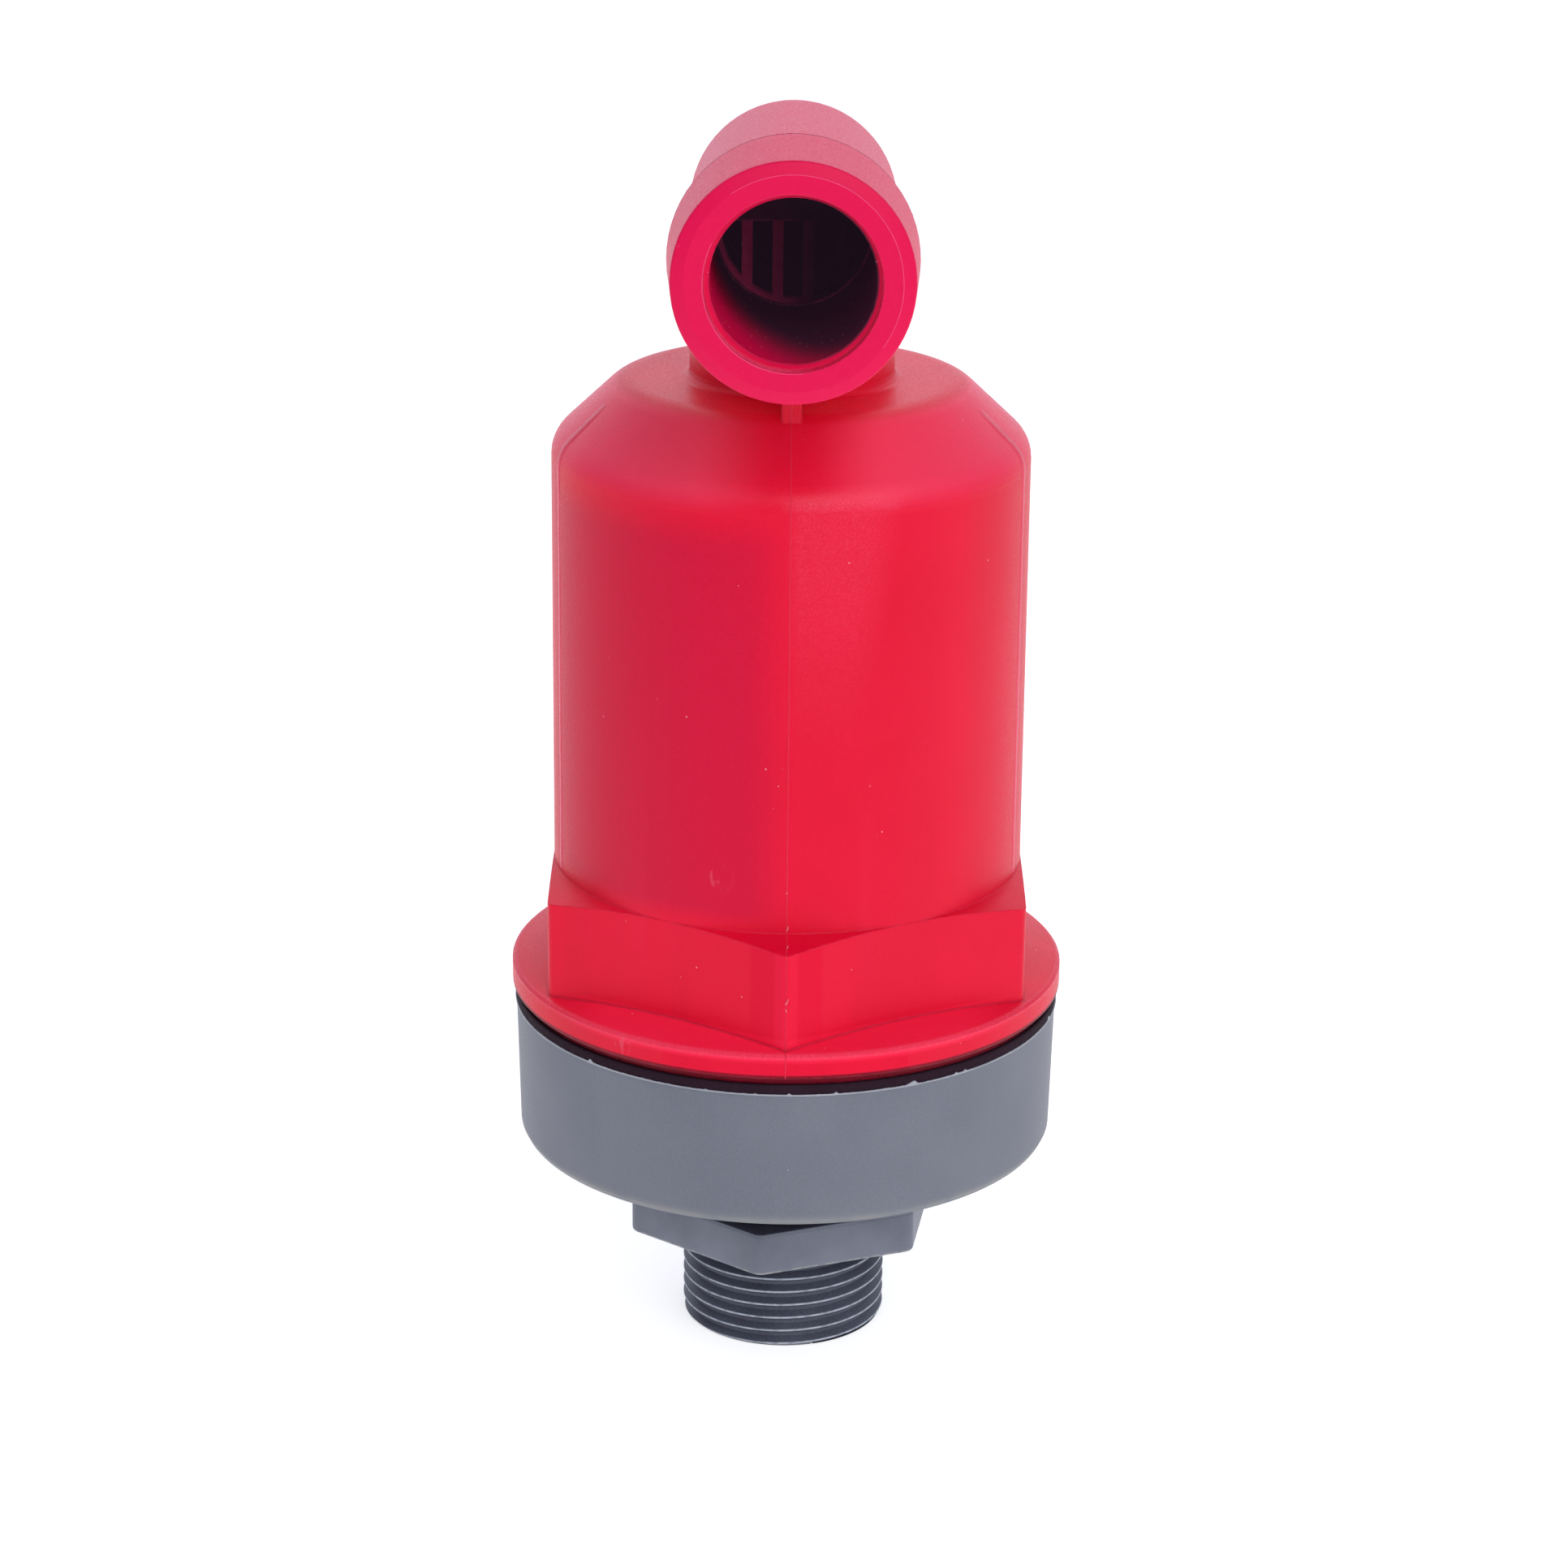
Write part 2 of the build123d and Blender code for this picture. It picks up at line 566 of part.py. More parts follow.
def make_bracket_screws():
    """Two small pan-head screws that hold the clevis to the plug."""
    head_z = PLUG_BOTTOM_Z - BRACKET_THICKNESS
    screws = []
    for side in (-1, 1):
        x = side * SCREW_X
        screw = upright(1.0, head_z - 0.2, PLUG_BOTTOM_Z + 3.2, x, SCREW_Y)
        head = upright(1.9, head_z - 1.3, head_z, x, SCREW_Y)
        head = fillet(head.edges().filter_by(GeomType.CIRCLE).sort_by(Axis.Z)[0], 0.5)
        for turn in (0, 90):
            head -= Pos(x, SCREW_Y, head_z - 1.3) * Rot(0, 0, turn) * Box(2.2, 0.5, 1.2)
        screws.append(screw + head)
    return Compound(children=screws)


def make_pivot_pin():
    """The steel pin that the lever turns on."""
    half = CHEEK_GAP + CHEEK_THICKNESS
    pin = cross_pin(PIN_R, half + 0.6, PIVOT_Y, PIVOT_Z)
    for side in (-1, 1):
        pin += Pos(side * (half + 0.65), PIVOT_Y, PIVOT_Z) * Rot(0, 90, 0) * Cylinder(1.6, 0.7)
    return pin


# ---------------------------------------------------------------- lever

def swung(shape):
    """Turn a lever part from level to where it hangs with the float down."""
    return Pos(0, PIVOT_Y, PIVOT_Z) * Rot(LEVER_REST_DEG, 0, 0) * shape


def make_lever():
    """The lever, drawn level about its pivot and then let down."""
    half = LEVER_THICKNESS / 2
    arm = block((-LEVER_HALF_WIDTH, LEVER_HALF_WIDTH), (0, LINK_ARM), (-half, half))
    for y in (0, LINK_ARM):
        arm += cross_pin(half, LEVER_HALF_WIDTH, y, 0)
    arm -= cross_pin(PIN_R + 0.04, 10.0, 0, 0)
    arm -= cross_pin(PIN_R + 0.01, 10.0, LINK_ARM, 0)
    pad_y = NOZZLE_Y - PIVOT_Y
    arm -= upright(PAD_R, half + PAD_PROUD - PAD_THICKNESS, half + 1.0, 0, pad_y)
    return swung(arm)


def make_lever_pad():
    """The rubber pad in the lever that closes the nozzle."""
    top_z = LEVER_THICKNESS / 2 + PAD_PROUD
    return swung(upright(PAD_R, top_z - PAD_THICKNESS, top_z, 0, NOZZLE_Y - PIVOT_Y))


def make_link_pin():
    """The pin in the lever's free end that the float hangs from."""
    half = CHEEK_GAP + CHEEK_THICKNESS
    pin = cross_pin(PIN_R, half + 0.6, LINK_ARM, 0)
    for side in (-1, 1):
        pin += Pos(side * (half + 0.75), LINK_ARM, 0) * Rot(0, 90, 0) * Cylinder(1.6, 0.7)
    return swung(pin)


# ---------------------------------------------------------------- float

def make_float_lower_shell():
    """The lower half of the hollow float."""
    inner_r = FLOAT_R - FLOAT_WALL
    return turned([
        (0, FLOAT_BOTTOM_Z),
        (FLOAT_R - 6.0, FLOAT_BOTTOM_Z),
        (FLOAT_R - 2.0, FLOAT_BOTTOM_Z + 1.6),
        (FLOAT_R, FLOAT_BOTTOM_Z + 6.0),
        (FLOAT_R, FLOAT_SPLIT_Z),
        (inner_r, FLOAT_SPLIT_Z),
        (inner_r, FLOAT_BOTTOM_Z + 6.5),
        (inner_r - 2.0, FLOAT_BOTTOM_Z + 3.2),
        (inner_r - 5.0, FLOAT_BOTTOM_Z + FLOAT_WALL),
        (0, FLOAT_BOTTOM_Z + FLOAT_WALL),
    ])


def make_float_upper_shell():
    """The upper half, with a lip that sits inside the lower half and a boss for the hanger."""
    inner_r = FLOAT_R - FLOAT_WALL
    lip_r = inner_r - 0.05
    boss_r = 5.0
    boss_low_z = FLOAT_TOP_Z - 9.0
    shell = turned([
        (FLOAT_R, FLOAT_SPLIT_Z),
        (FLOAT_R, FLOAT_SHOULDER_Z - 3.0),
        (FLOAT_R - 1.5, FLOAT_SHOULDER_Z),
        (FLOAT_R - 6.0, FLOAT_TOP_Z),
        (0, FLOAT_TOP_Z),
        (0, boss_low_z),
        (boss_r, boss_low_z),
        (boss_r, FLOAT_TOP_Z - FLOAT_WALL),
        (inner_r - 5.0, FLOAT_TOP_Z - FLOAT_WALL),
        (inner_r - 1.5, FLOAT_SHOULDER_Z - 1.0),
        (inner_r, FLOAT_SHOULDER_Z - 4.0),
        (inner_r, FLOAT_SPLIT_Z + 4.0),
        (lip_r - 1.2, FLOAT_SPLIT_Z + 2.0),
        (lip_r - 1.2, FLOAT_SPLIT_Z - 3.0),
        (lip_r, FLOAT_SPLIT_Z - 3.0),
        (lip_r, FLOAT_SPLIT_Z),
    ])
    return shell - upright(2.0, boss_low_z + 1.5, FLOAT_TOP_Z + 1.0)


def make_float_ballast():
    """The weight in the float's foot that keeps it upright and pulls the lever open."""
    low_z = FLOAT_BOTTOM_Z + FLOAT_WALL
    weight = upright(12.0, low_z, low_z + 3.0)
    return chamfer(weight.edges().filter_by(GeomType.CIRCLE).sort_by(Axis.Z)[-1], 0.6)


def make_float_hanger():
    """The slotted fork screwed into the float's top."""
    base_top = FLOAT_TOP_Z + HANGER_BASE
    pin_z = PIVOT_Z - FLOAT_STROKE
    pin_y = PIVOT_Y + LINK_ARM
    slot_half_height = PIN_R + 0.12
    slot_low_y = PIVOT_Y + math.sqrt(LINK_ARM ** 2 - FLOAT_STROKE ** 2) - PIN_R - 0.35
    slot_high_y = pin_y + PIN_R + 0.35
    hanger = upright(HANGER_R, FLOAT_TOP_Z, base_top)
    hanger += upright(1.95, FLOAT_TOP_Z - 6.5, FLOAT_TOP_Z + 0.5)
    for side in (-1, 1):
        x_range = sorted((side * CHEEK_GAP, side * (CHEEK_GAP + CHEEK_THICKNESS)))
        foot = block(x_range, (0.0, slot_high_y + 1.4), (FLOAT_TOP_Z, base_top + 3.0))
        cheek = block(x_range, (slot_low_y - 1.4, slot_high_y + 1.4), (FLOAT_TOP_Z, pin_z + 2.6))
        cheek = fillet(cheek.edges().filter_by(Axis.X).group_by(Axis.Z)[-1], 1.2)
        hanger += foot + cheek
    hanger &= block((-HANGER_R, HANGER_R), (-HANGER_R, slot_high_y + 2.0), (0, PIVOT_Z + 10.0))
    hanger -= block((-10.0, 10.0), (slot_low_y, slot_high_y), (pin_z - slot_half_height, pin_z + slot_half_height))
    return hanger


# ---------------------------------------------------------------- output

PARTS = {
    "body": make_body,
    "outlet_screen": make_outlet_screen,
    "base_cup": make_base_cup,
    "hex_nipple": make_hex_nipple,
    "body_gasket": make_body_gasket,
    "nipple_washer": make_nipple_washer,
    "inlet_strainer": make_inlet_strainer,
    "float_cage": make_float_cage,
    "seat_ring": make_seat_ring,
    "seat_o_ring": make_seat_o_ring,
    "plug_disc": make_plug_disc,
    "plug_seal": make_plug_seal,
    "orifice_nozzle": make_orifice_nozzle,
    "nozzle_o_ring": make_nozzle_o_ring,
    "lever_bracket": make_lever_bracket,
    "bracket_screws": make_bracket_screws,
    "pivot_pin": make_pivot_pin,
    "lever": make_lever,
    "lever_pad": make_lever_pad,
    "link_pin": make_link_pin,
    "float_lower_shell": make_float_lower_shell,
    "float_upper_shell": make_float_upper_shell,
    "float_ballast": make_float_ballast,
    "float_hanger": make_float_hanger,
}

os.makedirs("parts", exist_ok=True)
for name, make in PARTS.items():
    export_step(make(), f"parts/{name}.step")
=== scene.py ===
import math
import random

import bmesh
import bpy
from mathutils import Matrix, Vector, noise
from mathutils.bvhtree import BVHTree


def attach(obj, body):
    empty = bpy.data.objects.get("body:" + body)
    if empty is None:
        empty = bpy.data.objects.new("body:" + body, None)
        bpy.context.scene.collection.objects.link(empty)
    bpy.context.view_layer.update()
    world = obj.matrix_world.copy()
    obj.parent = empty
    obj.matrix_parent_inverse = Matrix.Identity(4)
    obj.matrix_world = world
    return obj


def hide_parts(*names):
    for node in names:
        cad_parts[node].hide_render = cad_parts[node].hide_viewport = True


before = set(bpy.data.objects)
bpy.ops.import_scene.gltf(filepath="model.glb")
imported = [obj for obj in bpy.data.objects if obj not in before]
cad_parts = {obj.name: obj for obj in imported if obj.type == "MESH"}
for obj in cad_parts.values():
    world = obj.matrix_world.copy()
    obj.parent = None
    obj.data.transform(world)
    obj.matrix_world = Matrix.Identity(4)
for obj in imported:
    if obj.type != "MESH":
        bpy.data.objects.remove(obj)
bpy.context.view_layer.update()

# Looks of the automatic air vent: materials for every CAD node, a nipple with a true
# helical thread, and the moulding marks on the red body and the grey cup.
# Sizes are in millimetres in the CAD's own frame: +Z up, the outlet points along -Y.
# MM brings them to the scene's metres.

MM = 0.001

# ---------------------------------------------------------------- driving dimensions (mm)

# Inlet nipple
PIPE_MAJOR_R = 16.62
PIPE_PITCH = 2.309
PIPE_DEPTH = 1.2
NIPPLE_BORE_R = 12.0
BORE_CHAMFER = 0.5
THREAD_TOP_Z = 17.4
THREAD_RUN_OUT = 1.4
THREAD_LEAD = 0.5
HEX_TOP_Z = 24.5
NIPPLE_TOP_Z = 36.6
HEX_CORNER_R = 26.8
HEX_CORNER_ROUND = 2.0
HEX_EDGE = 0.55                    # how far the hex's worn edges are rounded
HEX_TURN = -8.6                    # degrees from the body's hex
INNER_THREAD_R = 16.37
INNER_THREAD_DEPTH = 0.95
INNER_THREAD_LOW_Z = HEX_TOP_Z + 1.2

# Body and cup, where marks are laid on them
BODY_R = 37.5
HEX_ROOT_Z = 80.6
RIB_TOP_Z = 166.8
FLANGE_LOW_Z = 59.4
FLANGE_ROOT_R = 36.5
FLANGE_ROOT_Z = 65.1
FLANGE_FALL = 0.2152               # how fast the flange's top drops away from the hex
SHOULDER_Z = 149.1
DOME_Z = 159.0
OUTLET_Z = 185.6
OUTLET_FACE_Y = -57.0
SCREEN_Y = -17.0
SOCKET_R = 11.9
MOUTH_R = 12.7
COLLAR_BACK_Y = -40.0
COLLAR_FACE_R = 17.4
COLLAR_BEVEL = 1.9
COLLAR_CLEAR_R = 19.0              # clears the collar all round
NECK_R = 15.9
NECK_BORE_R = 11.3
CUP_RIM_Z = 56.7
CUP_RIM_R = 43.8
CUP_FLOOR_Z = 34.0
SLIDE_LINE_ANGLES = (-163.0, -17.0)   # degrees about Z, 73 either side of the outlet
NIBS = (
    (HEX_ROOT_Z + 0.4, 0.9, 0.15),
    (HEX_ROOT_Z - 1.0, 0.6, 0.11),
    (71.2, 1.1, 0.13),
    (70.0, 0.6, 0.1),
    (SHOULDER_Z - 62.0, 0.4, 0.09),
)   # height, length and width of each nib of flash on the front parting line
SCUFFS = (
    ((-10.3, -36.1, 89.0), 2.6),
    ((-25.2, -36.6, 61.6), 2.0),
)   # places on the body and how far each mark reaches
MOUTH_LINES = (
    (0.4, 0.09, 3.0),
    (0.85, 0.06, 4.0),
    (1.3, 0.08, 5.0),
    (1.75, 0.05, 6.0),
)   # depth, half width and noise seed of each fine line inside the outlet's mouth
BURR_HEIGHT = 0.34
BURR_THICKNESS = 0.24
RAY_START = 60.0                   # rays that look for the surface start this far out
LONGEST_STEP = 3.0                 # a laid strip breaks off where the surface steps further
STRIP_SINK = 0.06                  # how far a laid strip's edges sink into the surface
RING_SINK = 0.05                   # the same for lines around the outlet and the cup's burr

# Camera: fitted to the photograph's viewpoint
CAMERA_PLACE = (-0.00063, -0.62883, 0.31021)
CAMERA_PITCH = 19.15               # degrees downwards
CAMERA_ROLL = 0.0097               # radians
CAMERA_LENS = 95.29

# Light levels
LIGHTS = (
    ("key", 34, 34, 1.4, 0.9, 7.1),
    ("fill", 0, 34, 1.4, 0.9, 3.4),
    ("left", -80, 45, 1.2, 0.8, 1.1),
    ("glint", 14, 40, 1.2, 0.25, 0.5),
)   # azimuth and elevation in degrees, distance and size in metres, power in watts
LIGHT_AIM_Z = 110.0                # the lights point at this height on the vent's axis
WORLD_FRONT = 0.22                 # the surround's strength on the camera's side
WORLD_BACK = 1.35
WORLD_TOP = 2.4
WORLD_RIGHT = 0.75                 # share of its strength that it keeps on the right
WORLD_TINT = (0.92, 0.95, 1.09)
FLOOR_GLOW = 0.56


# ---------------------------------------------------------------- mesh helpers

def new_object(name, mesh, material, body="housing"):
    """An object made of a mesh, which rides on a CAD body."""
    piece = bpy.data.objects.new(name, mesh)
    bpy.context.scene.collection.objects.link(piece)
    mesh.materials.append(material)
    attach(piece, body)
    return piece


def mesh_from_bmesh(name, shape, smooth_angle, closed=True):
    """A smooth mesh whose edges past smooth_angle stay sharp; a closed one is turned outwards."""
    if closed:
        bmesh.ops.recalc_face_normals(shape, faces=shape.faces)
    limit = math.radians(smooth_angle)
    for edge in shape.edges:
        edge.smooth = len(edge.link_faces) == 2 and edge.calc_face_angle(0.0) < limit
    for face in shape.faces:
        face.smooth = True
    mesh = bpy.data.meshes.new(name)
    shape.to_mesh(mesh)
    shape.free()
    return mesh


def add_facing(shape, corners, outward):
    """A face whose normal points to the outward side."""
    face = shape.faces.new(corners)
    face.normal_update()
    if face.normal.dot(outward) < 0:
        face.normal_flip()


def add_ring(shape, angles, radii, height):
    """One ring of vertices about Z; radii and height are numbers or lists in mm."""
    ring = []
    for index, angle in enumerate(angles):
        r = radii[index] if isinstance(radii, list) else radii
        z = height[index] if isinstance(height, list) else height
        ring.append(shape.verts.new((r * math.cos(angle) * MM, r * math.sin(angle) * MM, z * MM)))
    return ring


def bridge(shape, lower, upper):
    """Faces between two rings of equal length."""
    count = len(lower)
    for index in range(count):
        after = (index + 1) % count
        corners = (lower[index], lower[after], upper[after], upper[index])
        shape.faces.new(corners)


# ---------------------------------------------------------------- nipple with a helical thread

def hex_radius(angle, corner_r):
    """Distance from the axis to a hexagon with rounded corners, in the direction of angle."""
    from_corner = (angle - math.radians(HEX_TURN) - math.radians(30)) % math.radians(60)
    from_corner = min(from_corner, math.radians(60) - from_corner)
    apothem = corner_r * math.cos(math.radians(30))
    flat_r = apothem / math.cos(math.radians(30) - from_corner)
    # the arc that rounds the corner has its centre this far out on the corner's own line
    centre_r = (apothem - HEX_CORNER_ROUND) / math.cos(math.radians(30))
    tangent = centre_r * math.sin(from_corner)
    if abs(tangent) < HEX_CORNER_ROUND:
        arc_r = centre_r * math.cos(from_corner) + math.sqrt(HEX_CORNER_ROUND ** 2 - tangent ** 2)
        reach = centre_r + HEX_CORNER_ROUND * math.cos(math.radians(30))
        if from_corner < math.atan2(HEX_CORNER_ROUND / 2, reach):
            return arc_r
    return flat_r


def nipple_angles():
    """Columns about the axis: even all round, and close together at the hex's corners."""
    even = 180
    angles = {round(2 * math.pi * index / even, 9) for index in range(even)}
    for corner in range(6):
        middle = math.radians(HEX_TURN + 30 + 60 * corner)
        for step in range(-6, 7):
            angles.add(round((middle + math.radians(0.42 * step)) % (2 * math.pi), 9))
    kept = []
    for angle in sorted(angles):
        if not kept or angle - kept[-1] > 0.002:
            kept.append(angle)
    return kept


THREAD_PROFILE = (
    (0.00, 0.0), (0.10, 0.0), (0.15, 0.03), (0.20, 0.16), (0.44, 0.93), (0.47, 0.99), (0.50, 1.0),
    (0.54, 1.0), (0.57, 0.99), (0.60, 0.93), (0.84, 0.16), (0.89, 0.03), (0.94, 0.0),
)   # share of the pitch, share of the depth

INNER_THREAD_PROFILE = ((0.0, 0.0), (0.12, 0.0), (0.42, 1.0), (0.62, 1.0), (0.92, 0.0))   # the same


def thread_radius(height, share, crest_r, depth, low_z, high_z, run_out, lead):
    """Radius of a thread at a height, where share is how far out the profile stands."""
    root_r = crest_r - depth
    fade = min(1.0, max(0.0, (high_z - height) / run_out))
    r = root_r + depth * share * fade
    return min(r, crest_r - lead + max(0.0, height - low_z))


def add_thread(shape, angles, crest_r, depth, low_z, high_z, run_out, lead):
    """A right-hand thread between two heights. Returns its lowest and highest rings.

    Its rows follow the helix. Rows that would pass an end are pressed flat onto it, and
    the doubled vertices there are merged.
    """
    turns = int((high_z - low_z) / PIPE_PITCH) + 2
    rows = []
    for turn in range(-1, turns):
        for pitch_share, depth_share in THREAD_PROFILE:
            base = low_z + (turn + pitch_share) * PIPE_PITCH
            heights = [base + PIPE_PITCH * angle / (2 * math.pi) for angle in angles]
            heights.append(base + PIPE_PITCH)
            rows.append((heights, depth_share))
    grid = []
    for heights, depth_share in rows:
        line = []
        for angle, height in zip(angles + [2 * math.pi], heights):
            z = min(max(height, low_z), high_z)
            r = thread_radius(z, depth_share, crest_r, depth, low_z, high_z, run_out, lead)
            if z in (low_z, high_z):
                r = crest_r - lead if z == low_z else crest_r - depth
            line.append(shape.verts.new((r * math.cos(angle) * MM, r * math.sin(angle) * MM, z * MM)))
        grid.append(line)
    for row, above in zip(grid, grid[1:]):
        for index in range(len(angles)):
            corners = [row[index], row[index + 1], above[index + 1], above[index]]
            heights = [corner.co.z for corner in corners]
            if max(heights) - min(heights) > 1e-7:
                shape.faces.new(corners)
    loose = [vert for vert in shape.verts if not vert.link_faces]
    bmesh.ops.delete(shape, geom=loose, context="VERTS")
    bmesh.ops.remove_doubles(shape, verts=shape.verts, dist=2e-6)
    return ring_at(shape, angles, low_z), ring_at(shape, angles, high_z)


def ring_at(shape, angles, height):
    """The open ring of a thread's end, in the order of angles."""
    found = {}
    for edge in shape.edges:
        if edge.is_boundary:
            for vert in edge.verts:
                if abs(vert.co.z - height * MM) < 0.02 * MM:
                    found[vert] = math.atan2(vert.co.y, vert.co.x) % (2 * math.pi)
    ring = []
    for angle in angles:
        ring.append(min(found, key=lambda vert: abs(math.remainder(found[vert] - angle, 2 * math.pi))))
    return ring


def make_nipple(material):
    """The double-threaded nipple: bore, outer thread, spanner hex and inner thread."""
    shape = bmesh.new()
    angles = nipple_angles()
    thread_low, thread_high = add_thread(
        shape, angles, PIPE_MAJOR_R, PIPE_DEPTH, 0.0, THREAD_TOP_Z, THREAD_RUN_OUT, THREAD_LEAD)

    root_r = PIPE_MAJOR_R - PIPE_DEPTH
    mouth = add_ring(shape, angles, NIPPLE_BORE_R + BORE_CHAMFER, 0.0)
    bore_low = add_ring(shape, angles, NIPPLE_BORE_R, BORE_CHAMFER)
    bore_high = add_ring(shape, angles, NIPPLE_BORE_R, NIPPLE_TOP_Z)
    bridge(shape, thread_low, mouth)
    bridge(shape, mouth, bore_low)
    bridge(shape, bore_low, bore_high)

    # each row of the hex's edge: how far in from the flats, and how far from the end face
    below = thread_high
    hex_rows = ((HEX_EDGE, 0.0), (0.22, 0.10), (0.06, 0.30), (0.0, HEX_EDGE + 0.1))
    rows = [(inset, THREAD_TOP_Z + rise) for inset, rise in hex_rows]
    rows += [(inset, HEX_TOP_Z - rise) for inset, rise in reversed(hex_rows)]
    for inset, height in rows:
        radii = [hex_radius(angle, HEX_CORNER_R) - inset for angle in angles]
        ring = add_ring(shape, angles, radii, height)
        bridge(shape, below, ring)
        below = ring
    neck = add_ring(shape, angles, root_r, HEX_TOP_Z)
    bridge(shape, below, neck)
    below = neck
    ridges = int((NIPPLE_TOP_Z - INNER_THREAD_LOW_Z) / PIPE_PITCH)
    low_r = INNER_THREAD_R - INNER_THREAD_DEPTH
    for ridge in range(ridges):
        base = INNER_THREAD_LOW_Z + ridge * PIPE_PITCH
        for pitch_share, depth_share in INNER_THREAD_PROFILE:
            r = low_r + INNER_THREAD_DEPTH * depth_share
            ring = add_ring(shape, angles, r, base + pitch_share * PIPE_PITCH)
            bridge(shape, below, ring)
            below = ring
    top = add_ring(shape, angles, low_r, NIPPLE_TOP_Z)
    bridge(shape, below, top)
    bridge(shape, top, bore_high)
    mesh = mesh_from_bmesh("threaded_nipple", shape, smooth_angle=32.0)
    nipple = new_object("threaded_nipple", mesh, material)
    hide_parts("hex_nipple")


# ---------------------------------------------------------------- marks laid on CAD surfaces

def surface_of(node):
    """A search tree over a CAD node's mesh."""
    return BVHTree.FromObject(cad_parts[node], bpy.context.evaluated_depsgraph_get())


def laid_strip(shape, tree, stations, flat=0.45):
    """A thin raised strip on a surface; flat is the share of its width that stands level.

    Each station is (start, direction, across, half_width, rise): rays run from start along
    direction until they meet the surface. Widths and rises are in mm.
    """
    rows = []
    for start, direction, across, half_width, rise in stations:
        row = []
        for share, lift in ((-1.0, -STRIP_SINK), (-flat, rise), (flat, rise), (1.0, -STRIP_SINK)):
            place = start + across * (share * half_width * MM)
            hit, normal, _, _ = tree.ray_cast(place, direction)
            if hit is not None:
                row.append(hit + normal * (lift * MM))
        rows.append((row, -direction))
    last = None
    for row, outward in rows:
        if len(row) != 4:
            last = None
            continue
        verts = [shape.verts.new(place) for place in row]
        if last is not None and (verts[1].co - last[1].co).length < LONGEST_STEP * MM:
            for index in range(3):
                corners = (last[index], last[index + 1], verts[index + 1], verts[index])
                add_facing(shape, corners, outward)
        last = verts
    loose = [vert for vert in shape.verts if not vert.link_faces]
    bmesh.ops.delete(shape, geom=loose, context="VERTS")


def heights_between(low, high, step):
    """Even heights in mm from low to high."""
    count = max(1, round((high - low) / step))
    return [low + (high - low) * index / count for index in range(count + 1)]


def make_parting_line(tree, material):
    """The mould's parting line up the front and the back of the body."""
    shape = bmesh.new()
    across = Vector((1, 0, 0))
    above_hex = HEX_ROOT_Z + 0.4
    over_hex = heights_between(FLANGE_LOW_Z + 0.1, above_hex, 0.12)
    runs = (
        (-1, over_hex),
        (-1, heights_between(above_hex, RIB_TOP_Z, 0.5)),
        (1, over_hex),
        (1, heights_between(above_hex, OUTLET_Z, 0.5)),
    )   # the side, front or back, and the heights of the stations
    for side, heights in runs:
        stations = []
        for z in heights:
            wander = 0.05 * noise.noise((0.0, side * 4.0, z * 0.35))
            half_width = 0.13 + 0.05 * noise.noise((3.0, side * 4.0, z * 0.9))
            rise = 0.05 + 0.03 * noise.noise((7.0, side * 4.0, z * 1.3))
            start = Vector((wander * MM, side * RAY_START * MM, z * MM))
            stations.append((start, Vector((0, -side, 0)), across, half_width, rise))
        laid_strip(shape, tree, stations)
    mesh = mesh_from_bmesh("parting_line", shape, smooth_angle=60.0, closed=False)
    new_object("parting_line", mesh, material)


def make_slide_lines(tree, material):
    """Ridges left by the mould's slides: fine on the cylinder, broader over the shoulder."""
    shape = bmesh.new()
    for degrees in SLIDE_LINE_ANGLES:
        angle = math.radians(degrees)
        outward = Vector((math.cos(angle), math.sin(angle), 0))
        across = Vector((-math.sin(angle), math.cos(angle), 0))
        stations = []
        top_z = DOME_Z - 1.5
        for z in heights_between(HEX_ROOT_Z + 0.6, top_z, 0.4):
            over = min(1.0, max(0.0, (z - SHOULDER_Z + 9.0) / 9.0))
            fade = min(1.0, max(0.0, (top_z - z) / 4.0))
            half_width = 0.7 + 0.4 * over + 0.1 * noise.noise((degrees, 5.0, z * 0.15))
            rise = (0.05 + 0.03 * over) * fade + 0.02 * noise.noise((degrees, 0.0, z * 0.4))
            start = outward * (RAY_START * MM) + Vector((0, 0, z * MM))
            stations.append((start, -outward, across, half_width, rise - 0.03 * (1 - fade)))
        laid_strip(shape, tree, stations, flat=0.86)
    mesh = mesh_from_bmesh("slide_lines", shape, smooth_angle=60.0, closed=False)
    new_object("slide_lines", mesh, material)


def add_outlet_arc(shape, ring_r, y, half_width, rise, facing, middle, reach, seed):
    """A fine raised line around part of the outlet's axis.

    It fades out reach degrees either side of middle, where 90 is the top and 180 the left.
    Facing "front" it stands off the end face; facing "axis" it stands off the bore's wall.
    """
    rows = []
    count = round(reach)
    for index in range(2 * count + 1):
        share = index / count - 1
        angle = math.radians(middle + reach * share)
        place = Vector((math.cos(angle), math.sin(angle), 0))
        strength = 0.5 + max(0.0, 0.5 + noise.noise(place * 1.6 + Vector((seed, 0, 0))))
        strength *= 1 - abs(share) ** 3
        wander = 0.03 * noise.noise(place * 5.0 + Vector((0, seed, 0)))
        row = []
        top = rise * strength
        for side, lift in ((-1.0, -RING_SINK), (-0.4, top), (0.4, top), (1.0, -RING_SINK)):
            along = side * half_width + wander
            r = ring_r + along if facing == "front" else ring_r - lift
            depth = y - lift if facing == "front" else y + along
            row.append(shape.verts.new((r * place.x * MM, depth * MM, (OUTLET_Z + r * place.y) * MM)))
        outward = Vector((0, -1, 0)) if facing == "front" else Vector((-place.x, 0, -place.y))
        rows.append((row, outward))
    for (row, outward), (after, _) in zip(rows, rows[1:]):
        for part in range(3):
            corners = (row[part], row[part + 1], after[part + 1], after[part])
            add_facing(shape, corners, outward)


